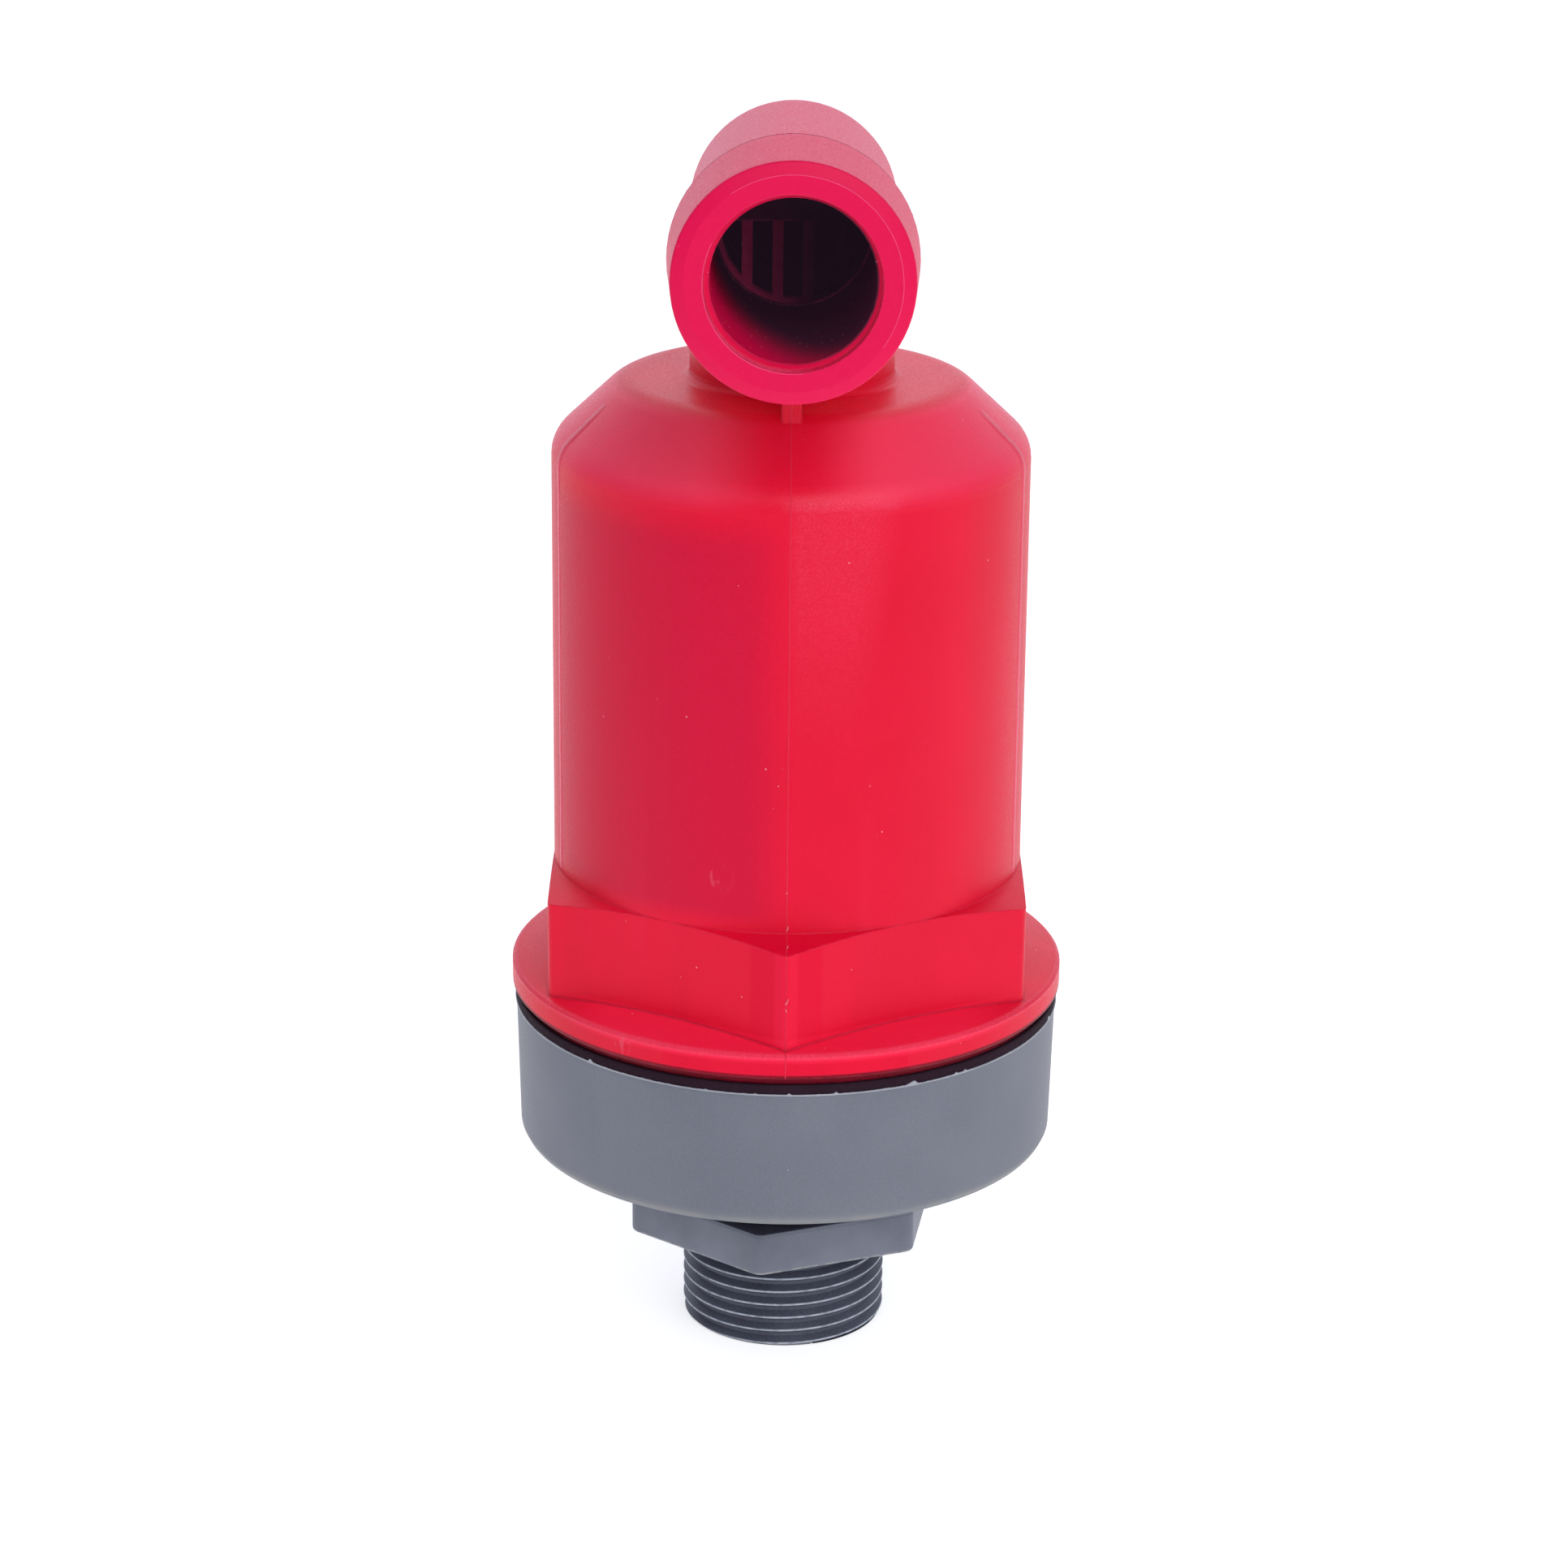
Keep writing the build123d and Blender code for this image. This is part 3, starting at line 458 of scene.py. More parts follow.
def make_outlet_lines(material):
    """Fine lines where the outlet's core and end plate met: on the face and in the mouth."""
    shape = bmesh.new()
    face_r = COLLAR_FACE_R - COLLAR_BEVEL
    add_outlet_arc(shape, face_r, OUTLET_FACE_Y, 0.09, 0.03, "front", 45, 80, 1.0)
    add_outlet_arc(shape, MOUTH_R + 0.12, OUTLET_FACE_Y, 0.11, 0.045, "front", 215, 62, 2.0)
    for depth, half_width, seed in MOUTH_LINES:
        y = OUTLET_FACE_Y + depth
        add_outlet_arc(shape, MOUTH_R, y, half_width, 0.05, "axis", 243, 46, seed)
    mesh = mesh_from_bmesh("outlet_lines", shape, smooth_angle=60.0, closed=False)
    new_object("outlet_lines", mesh, material)


def add_nib(shape, place, outward, length, width, draw):
    """A torn sliver of flash: a short tapering curl that stands off the surface."""
    lean = Vector((draw.uniform(-0.5, 0.5), 0, 1)).normalized()
    side = outward.cross(lean).normalized()
    rings = []
    steps = 6
    for index in range(steps + 1):
        share = index / steps
        curl = 0.25 * math.sin(3 * share)
        centre = place + lean * (length * share * MM) + outward * (curl * length * MM)
        centre += side * (draw.uniform(-0.06, 0.06) * length * MM)
        half = max(0.04, width * (1 - share) ** 0.7) * MM
        rings.append([
            shape.verts.new(centre - side * half),
            shape.verts.new(centre + outward * (half * 0.5)),
            shape.verts.new(centre + side * half),
            shape.verts.new(centre - outward * (half * 0.4)),
        ])
    for low, high in zip(rings, rings[1:]):
        bridge(shape, low, high)
    shape.faces.new(list(reversed(rings[0])))
    shape.faces.new(rings[-1])


def make_flash_nibs(tree, material):
    """Nibs of flash along the front parting line, at the hex's top and half way down it."""
    shape = bmesh.new()
    draw = random.Random(5)
    for z, length, width in NIBS:
        start = Vector((draw.uniform(-0.15, 0.15) * MM, -RAY_START * MM, z * MM))
        hit, _, _, _ = tree.ray_cast(start, Vector((0, 1, 0)))
        add_nib(shape, hit, Vector((0, -1, 0)), length, width, draw)
    mesh = mesh_from_bmesh("flash_nibs", shape, smooth_angle=60.0)
    new_object("flash_nibs", mesh, material)


def make_rim_burr(material):
    """A burr that a cutter left on the cup's rim: a thin ring of wandering height with torn peaks."""
    shape = bmesh.new()
    columns = 1080
    seed = 3.0
    radius = CUP_RIM_R + 0.1
    base_z = CUP_RIM_Z - 0.2
    angles = [2 * math.pi * index / columns for index in range(columns)]
    tops = []
    for angle in angles:
        place = Vector((math.cos(angle), math.sin(angle), 0))
        slow = 0.5 + 0.5 * noise.noise(place * 9.0 + Vector((seed, 0, 0)))
        quick = 0.5 + 0.5 * noise.noise(place * 70.0 + Vector((0, seed, 0)))
        torn = max(0.0, noise.noise(place * 34.0 + Vector((0, 0, seed))) - 0.36)
        share = 0.3 + 0.4 * slow + 0.8 * max(0.0, quick - 0.5) + 4.5 * torn
        tops.append(base_z + BURR_HEIGHT * share)
    outer = add_ring(shape, angles, radius + BURR_THICKNESS / 2, base_z - RING_SINK)
    crest_out = add_ring(shape, angles, radius + BURR_THICKNESS / 5, tops)
    crest_in = add_ring(shape, angles, radius - BURR_THICKNESS / 5, tops)
    inner = add_ring(shape, angles, radius - BURR_THICKNESS / 2, base_z - RING_SINK)
    bridge(shape, outer, crest_out)
    bridge(shape, crest_out, crest_in)
    bridge(shape, crest_in, inner)
    bridge(shape, inner, outer)
    mesh = mesh_from_bmesh("cup_rim_burr", shape, smooth_angle=50.0)
    new_object("cup_rim_burr", mesh, material)


# ---------------------------------------------------------------- material helpers

class Nodes:
    """Short calls for building one material's node tree.

    Any material can use the place on the object (place, x, y, z) and how far it is from the
    vent's axis and from the outlet's (from_axis, from_outlet).
    """

    def __init__(self, name):
        self.material = bpy.data.materials.new(name)
        self.material.use_nodes = True
        self.tree = self.material.node_tree
        self.shader = self.tree.nodes["Principled BSDF"]
        coordinates = self.tree.nodes.new("ShaderNodeTexCoord")
        self.place = coordinates.outputs["Object"]
        parts = self.tree.nodes.new("ShaderNodeSeparateXYZ")
        self.tree.links.new(self.place, parts.inputs["Vector"])
        self.x = parts.outputs["X"]
        self.y = parts.outputs["Y"]
        self.z = parts.outputs["Z"]
        self.from_axis = self.distance(self.x, self.y)
        self.from_outlet = self.distance(self.x, self.math("SUBTRACT", self.z, OUTLET_Z * MM))

    def link(self, value, socket):
        """A number, a colour or another node's output goes into a socket."""
        if isinstance(value, bpy.types.NodeSocket):
            self.tree.links.new(value, socket)
        elif socket.type == "RGBA":
            socket.default_value = (*value, 1.0)
        else:
            socket.default_value = value

    def set(self, name, value):
        """Set or link one of the shader's sockets."""
        self.link(value, self.shader.inputs[name])

    def stretched(self, *scale):
        """The place on the object, scaled along each axis."""
        node = self.tree.nodes.new("ShaderNodeMapping")
        node.inputs["Scale"].default_value = scale
        self.tree.links.new(self.place, node.inputs["Vector"])
        return node.outputs["Vector"]

    def noise(self, size_mm, detail=2.0, place=None):
        """Smooth noise whose patches are about size_mm across."""
        node = self.tree.nodes.new("ShaderNodeTexNoise")
        node.inputs["Scale"].default_value = 1.0 / (size_mm * MM)
        node.inputs["Detail"].default_value = detail
        self.tree.links.new(place or self.place, node.inputs["Vector"])
        return node.outputs["Fac"]

    def specks(self, size_mm, low, high):
        """Round specks about size_mm apart; low and high bound a speck's soft edge, in spacings."""
        node = self.tree.nodes.new("ShaderNodeTexVoronoi")
        node.inputs["Scale"].default_value = 1.0 / (size_mm * MM)
        self.tree.links.new(self.place, node.inputs["Vector"])
        return self.ramp(node.outputs["Distance"], low, high, 1.0, 0.0)

    def ramp(self, value, low, high, low_out=0.0, high_out=1.0):
        """value between low and high, brought to a new range with a smooth step."""
        node = self.tree.nodes.new("ShaderNodeMapRange")
        node.interpolation_type = "SMOOTHSTEP"
        for name, number in (("Value", value), ("From Min", low), ("From Max", high),
                             ("To Min", low_out), ("To Max", high_out)):
            self.link(number, node.inputs[name])
        return node.outputs["Result"]

    def past(self, distance, low, high, low_out=0.0, high_out=1.0):
        """low_out up to the distance low, moving to high_out at high; distances are in mm."""
        return self.ramp(distance, low * MM, high * MM, low_out, high_out)

    def until(self, distance, low, high):
        """1 up to the distance low, falling to 0 at high; both are in mm."""
        return self.ramp(distance, low * MM, high * MM, 1.0, 0.0)

    def math(self, operation, first, second=0.0):
        """One step of arithmetic."""
        node = self.tree.nodes.new("ShaderNodeMath")
        node.operation = operation
        self.link(first, node.inputs[0])
        self.link(second, node.inputs[1])
        return node.outputs["Value"]

    def distance(self, first, second):
        """How far a point is from an axis, from its two offsets."""
        first_square = self.math("MULTIPLY", first, first)
        second_square = self.math("MULTIPLY", second, second)
        return self.math("SQRT", self.math("ADD", first_square, second_square))

    def all_of(self, first, *others):
        """Several shares multiplied together."""
        for other in others:
            first = self.math("MULTIPLY", first, other)
        return first

    def either(self, first, second):
        """The larger of two shares."""
        return self.math("MAXIMUM", first, second)

    def hex_distance(self):
        """How far out the place is, measured square to the nearest side of the body's hex."""
        half_x = self.math("MULTIPLY", self.x, 0.5)
        tall_y = self.math("MULTIPLY", self.y, math.cos(math.radians(30)))
        first = self.math("ABSOLUTE", self.math("ADD", half_x, tall_y))
        second = self.math("ABSOLUTE", self.math("SUBTRACT", half_x, tall_y))
        return self.either(self.math("ABSOLUTE", self.x), self.either(first, second))

    def near(self, place, reach):
        """1 around a place, falling to 0 at reach; both are in mm."""
        node = self.tree.nodes.new("ShaderNodeVectorMath")
        node.operation = "DISTANCE"
        self.tree.links.new(self.place, node.inputs[0])
        node.inputs[1].default_value = [part * MM for part in place]
        return self.until(node.outputs["Value"], 0.5 * reach, reach)

    def edges(self, radius_mm):
        """A normal that rounds off the edges, and a mask that is 1 on them."""
        bevel = self.tree.nodes.new("ShaderNodeBevel")
        bevel.samples = 6
        bevel.inputs["Radius"].default_value = radius_mm * MM
        geometry = self.tree.nodes.new("ShaderNodeNewGeometry")
        alike = self.tree.nodes.new("ShaderNodeVectorMath")
        alike.operation = "DOT_PRODUCT"
        self.tree.links.new(bevel.outputs["Normal"], alike.inputs[0])
        self.tree.links.new(geometry.outputs["Normal"], alike.inputs[1])
        return bevel.outputs["Normal"], self.ramp(alike.outputs["Value"], 0.9, 0.985, 1.0, 0.0)

    def mix(self, share, first, second):
        """A colour between two colours."""
        node = self.tree.nodes.new("ShaderNodeMix")
        node.data_type = "RGBA"
        self.link(share, node.inputs["Factor"])
        self.link(first, node.inputs["A"])
        self.link(second, node.inputs["B"])
        return node.outputs["Result"]

    def bump(self, height, strength, depth_mm, below=None):
        """Small relief on the surface; below is a normal to add it to."""
        node = self.tree.nodes.new("ShaderNodeBump")
        node.inputs["Strength"].default_value = strength
        node.inputs["Distance"].default_value = depth_mm * MM
        self.tree.links.new(height, node.inputs["Height"])
        if below is not None:
            self.tree.links.new(below, node.inputs["Normal"])
        return node.outputs["Normal"]


def colour(red, green, blue):
    """A screen colour, 0 to 255, as the renderer's linear values."""
    def linear(value):
        share = value / 255
        return share / 12.92 if share <= 0.04045 else ((share + 0.055) / 1.055) ** 2.4
    return linear(red), linear(green), linear(blue)


# ---------------------------------------------------------------- colours and gloss

PLASTIC_IOR = 1.5

RED_BASE = colour(238, 8, 53)
RED_DEEP = colour(232, 5, 47)
RED_OUTLET = colour(234, 9, 80)
RED_BAND = colour(196, 2, 44)            # broad upright bands left by the flow of plastic
RED_STREAK = colour(236, 40, 80)
RED_GRAIN = colour(240, 34, 80)
RED_LEFT_SHADE = colour(210, 2, 57)            # painted shade on the cylinder's left half
# painted highlight: the speckled sheen on the cylinder and shoulder, and along the flange's rim
RED_PAINTED_HIGHLIGHT = colour(246, 112, 140)
# painted light and reflection on the upward-facing cone
RED_CONE_LIT = colour(250, 62, 96)
# painted light on the flange top and a painted highlight on the hex's front corner
RED_FLANGE_LIT = colour(255, 34, 74)
# painted shade in the gap under the flange's rim
RED_UNDER_RIM_SHADE = colour(116, 2, 26)
# painted shade at the collar's back edge
RED_COLLAR_SHADE = colour(96, 4, 36)
# painted shade in the crease where the hex meets the flange
RED_HEX_FOOT_SHADE = colour(150, 2, 36)
RED_DUST = colour(240, 176, 188)
RED_SCUFF = colour(236, 100, 126)
# lighter edges: wear, and a painted highlight where rounded edges catch light
RED_EDGE_WEAR_AND_HIGHLIGHT = colour(240, 80, 110)
# painted shade deep in the outlet's bore, and a faint painted glow that lifts it off black
BORE_SHADE = colour(52, 28, 48)
BORE_PAINTED_GLOW = colour(24, 13, 23)
# painted shade and painted light on the screen deep in the outlet
SCREEN_SHADE = colour(30, 18, 30)
SCREEN_PAINTED_LIGHT = colour(215, 50, 110)
GREY_GRAIN = colour(150, 153, 164)
GREY_SPECK = colour(206, 208, 216)
GREY_WORN = colour(176, 178, 188)
CUP_FOOT = colour(146, 146, 140)
THREAD_SHADES = (colour(64, 68, 84), colour(75, 80, 96))
# wear and a painted highlight on the thread's crests
THREAD_CREST_WEAR_AND_HIGHLIGHT = colour(188, 195, 210)
HEX_SHADES = (colour(102, 106, 121), colour(116, 120, 135))
# painted shade on the hex's top face, under the cup
HEX_TOP_SHADE = colour(58, 57, 70)
HEX_LOW_EDGE = colour(172, 172, 160)
HEX_HIGH_EDGE = colour(176, 180, 192)
RUBBER_SHADES = (colour(34, 16, 28), colour(46, 26, 40))
FLOOR_SHADES = (colour(240, 240, 240), colour(246, 246, 246))


# ---------------------------------------------------------------- red plastic

def in_front(n):
    """1 on the outlet's side of the body, 0 on its back."""
    return n.until(n.y, -16.0, -4.0)


def speckle(n):
    """A very fine speckle."""
    return n.ramp(n.noise(0.3, detail=1.0), 0.42, 0.7, 0.4, 1.0)


def cylinder_painted_light(n, shade, bands):
    """Painted shade on the left half, and a painted speckled sheen highlight to the right of the parting
    line.
    """
    # painted shade: the left half is darker, where less light falls on it
    shaded_left_half = n.all_of(
        in_front(n),
        n.past(n.z, HEX_ROOT_Z, HEX_ROOT_Z + 4.0),
        n.until(n.z, SHOULDER_Z - 9.0, SHOULDER_Z - 2.0),
        n.until(n.math("ADD", n.x, n.math("MULTIPLY", bands, 6.0 * MM)), -4.0, 4.0),
        0.8,
    )
    shade = n.mix(shaded_left_half, shade, RED_LEFT_SHADE)

    # the painted sheen highlight fades out downwards and grows narrower
    below_shoulder = n.math("SUBTRACT", SHOULDER_Z * MM, n.z)
    leaning = n.math("ADD", n.x, n.math("MULTIPLY", below_shoulder, 0.12))
    sheen = n.all_of(
        in_front(n),
        n.past(n.math("ADD", n.x, n.math("MULTIPLY", bands, 4.0 * MM)), 1.0, 4.0),
        n.until(leaning, 11.5, 18.0),
        n.past(n.z, HEX_ROOT_Z + 22.0, SHOULDER_Z - 6.0, 0.0, 0.15),
        n.until(n.z, SHOULDER_Z - 2.0, SHOULDER_Z - 0.5),
    )
    # painted highlight where the shoulder catches the light
    shoulder_gleam = n.all_of(
        in_front(n),
        n.past(n.z, SHOULDER_Z - 2.8, SHOULDER_Z - 1.2, 0.0, 0.34),
        n.until(n.z, SHOULDER_Z - 0.8, SHOULDER_Z + 0.8),
        n.past(n.x, -2.5, 2.0),
        n.until(n.x, 15.0, 17.5),
    )
    gleam = n.all_of(n.either(sheen, shoulder_gleam), speckle(n))
    return n.mix(gleam, shade, RED_PAINTED_HIGHLIGHT)


def cone_painted_light(n, shade):
    """Painted light and reflection on the cone between the shoulder and the dome: paler, except near the
    middle.
    """
    lit_cone = n.all_of(
        n.past(n.z, SHOULDER_Z - 3.5, SHOULDER_Z + 1.0),
        n.until(n.z, DOME_Z - 1.2, DOME_Z - 0.2),
        n.past(n.math("ABSOLUTE", n.x), 2.0, 15.0, 0.12, 1.0),
    )
    return n.mix(lit_cone, shade, RED_CONE_LIT)


def flange_painted_light(n, shade):
    """Painted light on the flange top, painted highlights on the hex corner and the rim, and painted
    shade under the rim.
    """
    from_middle = n.math("ABSOLUTE", n.x)
    from_hex = n.hex_distance()
    # painted light: the flange top is lighter where light falls on it, less so towards the sides
    lit_flange_top = n.all_of(
        n.past(n.z, FLANGE_LOW_Z + 2.3, FLANGE_LOW_Z + 3.3),
        n.until(n.z, FLANGE_ROOT_Z - 0.2, FLANGE_ROOT_Z + 0.4),
        n.past(from_hex, BODY_R - 0.3, BODY_R + 0.3),
        n.past(from_middle, 26.0, 38.0, 1.0, 0.15),
    )
    shade = n.mix(lit_flange_top, shade, RED_FLANGE_LIT)
    # painted shade: a dark band at the foot of the flange's rim
    under_rim_shade = n.all_of(
        n.past(n.from_axis, FLANGE_ROOT_R + 2.0, FLANGE_ROOT_R + 3.0),
        n.until(n.z, FLANGE_LOW_Z + 0.4, FLANGE_LOW_Z + 0.8),
    )
    shade = n.mix(under_rim_shade, shade, RED_UNDER_RIM_SHADE)
    # painted highlight along the rim's top edge, speckled
    rim_highlight = n.all_of(
        n.past(n.from_axis, FLANGE_ROOT_R + 7.0, FLANGE_ROOT_R + 7.3),
        n.past(n.z, FLANGE_LOW_Z + 3.0, FLANGE_LOW_Z + 3.4),
        n.until(n.z, FLANGE_ROOT_Z - 0.6, FLANGE_ROOT_Z - 0.4),
        speckle(n),
        0.3,
    )
    shade = n.mix(rim_highlight, shade, RED_PAINTED_HIGHLIGHT)
    # painted highlight on the hex's rounded front corner
    hex_corner_highlight = n.all_of(
        in_front(n),
        n.until(from_middle, 1.5, 2.1),
        n.past(from_hex, BODY_R - 0.6, BODY_R - 0.2),
        n.past(n.z, FLANGE_ROOT_Z - 2.0, FLANGE_ROOT_Z),
        0.3,
    )
    return n.mix(hex_corner_highlight, shade, RED_FLANGE_LIT)


def bore_shade_shares(n):
    """How much of a place is the outlet's bore, and how much painted shade it gets with depth."""
    past_corner = n.math("ADD", n.y, n.math("SUBTRACT", n.z, OUTLET_Z * MM))
    in_corner = n.all_of(
        n.until(n.from_axis, NECK_BORE_R + 1.0, NECK_R - 1.0),
        n.until(past_corner, NECK_R - 2.0, NECK_R),
    )
    inside_elbow = n.either(n.until(n.y, -1.0, 0.0), in_corner)
    in_bore = n.all_of(n.until(n.from_outlet, SOCKET_R + 0.1, SOCKET_R + 0.3), inside_elbow)

    # the painted shade deepens inwards and to the right, so it stays light near the mouth on the left,
    # where light falls in
    from_mouth = n.math("SUBTRACT", n.y, OUTLET_FACE_Y * MM)
    depth = n.math("ADD", from_mouth, n.math("MULTIPLY", n.x, 1.7))
    behind_screen = n.past(n.y, SCREEN_Y - 6.0, SCREEN_Y)
    dark = n.all_of(in_bore, n.either(n.past(depth, -6.0, 22.0, 0.15, 0.97), behind_screen))
    in_neck = n.all_of(
        n.until(n.from_axis, NECK_BORE_R + 0.1, NECK_BORE_R + 0.3),
        n.past(n.z, DOME_Z - 2.0, DOME_Z),
        n.until(n.z, OUTLET_Z - 1.0, OUTLET_Z),
    )
    return in_bore, n.either(dark, in_neck)


def collar_shade_line(n):
    """Painted shade: a thin dark line at the back edge of the outlet's collar."""
    return n.all_of(
        n.past(n.y, COLLAR_BACK_Y - 0.75, COLLAR_BACK_Y - 0.55),
        n.until(n.y, COLLAR_BACK_Y + 0.1, COLLAR_BACK_Y + 0.2),
        n.past(n.from_outlet, NECK_R + 1.8, NECK_R + 2.0),
        n.until(n.from_outlet, COLLAR_CLEAR_R, COLLAR_CLEAR_R + 0.5),
    )


def hex_foot_shade(n):
    """Painted shade: a thin dark line where the hex stands on the flange, whose top falls away from it.
    """
    outwards = n.math("SUBTRACT", n.from_axis, FLANGE_ROOT_R * MM)
    above_root = n.math("SUBTRACT", n.z, FLANGE_ROOT_Z * MM)
    above_flange = n.math("ADD", above_root, n.math("MULTIPLY", outwards, FLANGE_FALL))
    from_hex = n.hex_distance()
    return n.all_of(
        n.until(above_flange, 0.1, 0.3),
        n.past(from_hex, BODY_R - 0.2, BODY_R - 0.1),
        n.until(from_hex, BODY_R + 0.1, BODY_R + 0.5),
        n.past(n.z, FLANGE_LOW_Z + 2.0, FLANGE_LOW_Z + 2.5),
    )


def dust_and_scuffs(n, shade, in_bore):
    """Pale dust, finer and thicker in the outlet's mouth, and the scuffs."""
    rare = n.ramp(n.noise(6.0, detail=1.0), 0.56, 0.66)
    all_over = n.all_of(n.specks(3.1, 0.03, 0.055), rare)
    in_mouth = n.all_of(n.specks(1.4, 0.06, 0.12), in_bore, n.ramp(n.noise(3.0), 0.42, 0.56, 0.0, 0.7))
    shade = n.mix(n.all_of(n.either(all_over, in_mouth), 0.75), shade, RED_DUST)
    torn = n.ramp(n.noise(0.8, detail=3.0, place=n.stretched(1.0, 1.0, 0.35)), 0.52, 0.64)
    for place, reach in SCUFFS:
        shade = n.mix(n.all_of(n.near(place, reach), torn, 0.32), shade, RED_SCUFF)
    return shade


def red_plastic(name, base=RED_BASE, deep=RED_DEEP, outlet=RED_OUTLET, plain=False):
    """Moulded red plastic: fine grain and faint flow streaks, with painted shade and a faint painted glow
    in the outlet's bore.

    The outlet is given a pinker red than the body. Plain red, for thin marks laid on the body, goes
    without the body's painted light and shade, dust, and its edges' wear and painted highlight.
    """
    n = Nodes(name)
    grain = n.noise(0.34, detail=1.5)
    patches = n.noise(24.0, detail=3.0)
    streaks = n.noise(5.0, place=n.stretched(1.0, 1.0, 0.07))
    bands = n.noise(13.0, detail=1.0, place=n.stretched(1.0, 1.0, 0.03))
    shade = n.mix(n.ramp(patches, 0.3, 0.75), base, deep)
    shade = n.mix(n.ramp(bands, 0.42, 0.56, 0.0, 0.12), shade, RED_BAND)
    if not plain:
        shade = cylinder_painted_light(n, shade, bands)
        shade = cone_painted_light(n, shade)
        shade = flange_painted_light(n, shade)
    shade = n.mix(n.past(n.z, DOME_Z + 2.0, DOME_Z + 10.0), shade, outlet)
    shade = n.mix(n.ramp(streaks, 0.52, 0.8, 0.0, 0.10), shade, RED_STREAK)
    shade = n.mix(n.ramp(grain, 0.35, 0.7, 0.0, 0.12), shade, RED_GRAIN)

    in_bore, dark = bore_shade_shares(n)
    # painted shade in the bore, and a faint painted glow on it
    shade = n.mix(dark, shade, BORE_SHADE)
    n.set("Emission Color", BORE_PAINTED_GLOW)
    n.set("Emission Strength", dark)
    at_collar_shade = collar_shade_line(n)
    shade = n.mix(n.all_of(at_collar_shade, 0.8), shade, RED_COLLAR_SHADE)
    shade = n.mix(n.all_of(hex_foot_shade(n), 0.3), shade, RED_HEX_FOOT_SHADE)

    rounded = None
    if not plain:
        shade = dust_and_scuffs(n, shade, in_bore)
        # the edges are lighter from wear and a painted highlight
        rounded, on_edge = n.edges(0.3)
        worn = n.all_of(on_edge, n.ramp(n.noise(2.0), 0.35, 0.65, 0.12, 0.45))
        shade = n.mix(worn, shade, RED_EDGE_WEAR_AND_HIGHLIGHT)

    n.set("Base Color", shade)
    n.set("Roughness", n.ramp(grain, 0.3, 0.7, 0.34, 0.48))
    n.set("IOR", PLASTIC_IOR)
    open_red = n.math("SUBTRACT", 1.0, n.either(in_bore, at_collar_shade))
    off_collar = n.past(n.y, COLLAR_BACK_Y - 0.3, COLLAR_BACK_Y, 0.7, 1.0)
    shine = n.past(n.z, SHOULDER_Z - 2.0, DOME_Z + 6.0, 0.165, 0.24)
    n.set("Specular IOR Level", n.all_of(open_red, off_collar, shine))
    n.set("Sheen Weight", n.all_of(open_red, off_collar, 0.04))
    n.set("Sheen Roughness", 0.4)
    soft = n.bump(n.noise(3.5), 0.25, 0.05, below=rounded)
    n.set("Normal", n.bump(grain, 0.75, 0.035, below=soft))
    return n.material


def screen_plastic(name):
    """The screen deep in the outlet, with painted light: red where light reaches it, low on the left,
    painted shade elsewhere, and a faint painted glow.
    """
    n = Nodes(name)
    from_left = n.until(n.x, -9.0, 5.0)
    low_half = n.past(n.z, OUTLET_Z + 0.8, OUTLET_Z + 1.4, 1.0, 0.12)
    mottled = n.ramp(n.noise(2.5), 0.3, 0.7, 0.85, 1.0)
    # painted light on the screen's low left, painted shade on the rest
    n.set("Base Color", n.mix(n.all_of(from_left, low_half, mottled), SCREEN_SHADE, SCREEN_PAINTED_LIGHT))
    n.set("Roughness", n.ramp(n.noise(0.4), 0.3, 0.7, 0.5, 0.65))
    n.set("Specular IOR Level", 0.08)
    n.set("Emission Color", BORE_PAINTED_GLOW)
    n.set("Emission Strength", mottled)
    n.set("Normal", n.bump(n.noise(0.4), 0.4, 0.03))
    return n.material


# ---------------------------------------------------------------- other materials

def grey_plastic(name, base, light):
    """Grey moulded plastic: faint upright streaks, a matte grain and a few pale specks."""
    n = Nodes(name)
    streaks = n.noise(4.0, detail=3.0, place=n.stretched(1.0, 1.0, 0.05))
    grain = n.noise(0.3, detail=1.5)
    shade = n.mix(n.ramp(n.noise(18.0), 0.3, 0.75, 0.0, 0.5), base, light)
    shade = n.mix(n.ramp(streaks, 0.5, 0.8, 0.0, 0.25), shade, light)
    shade = n.mix(n.ramp(grain, 0.35, 0.7, 0.0, 0.12), shade, GREY_GRAIN)
    foot = n.all_of(
        n.until(n.z, CUP_FLOOR_Z + 0.9, CUP_FLOOR_Z + 2.4),
        n.past(n.from_axis, CUP_RIM_R - 8.0, CUP_RIM_R - 5.0),
        n.ramp(n.noise(7.0), 0.3, 0.6, 0.15, 0.45),
    )
    shade = n.mix(foot, shade, CUP_FOOT)
    specks = n.all_of(n.specks(2.6, 0.025, 0.05), n.ramp(n.noise(5.0), 0.58, 0.66, 0.0, 0.7))
    shade = n.mix(specks, shade, GREY_SPECK)
    rounded, on_edge = n.edges(0.25)
    worn = n.all_of(on_edge, n.ramp(n.noise(2.0), 0.3, 0.6, 0.1, 0.5))
    shade = n.mix(worn, shade, GREY_WORN)
    n.set("Base Color", shade)
    n.set("Roughness", n.ramp(grain, 0.3, 0.7, 0.42, 0.56))
    n.set("IOR", PLASTIC_IOR)
    n.set("Normal", n.bump(grain, 0.5, 0.025, below=rounded))
    return n.material


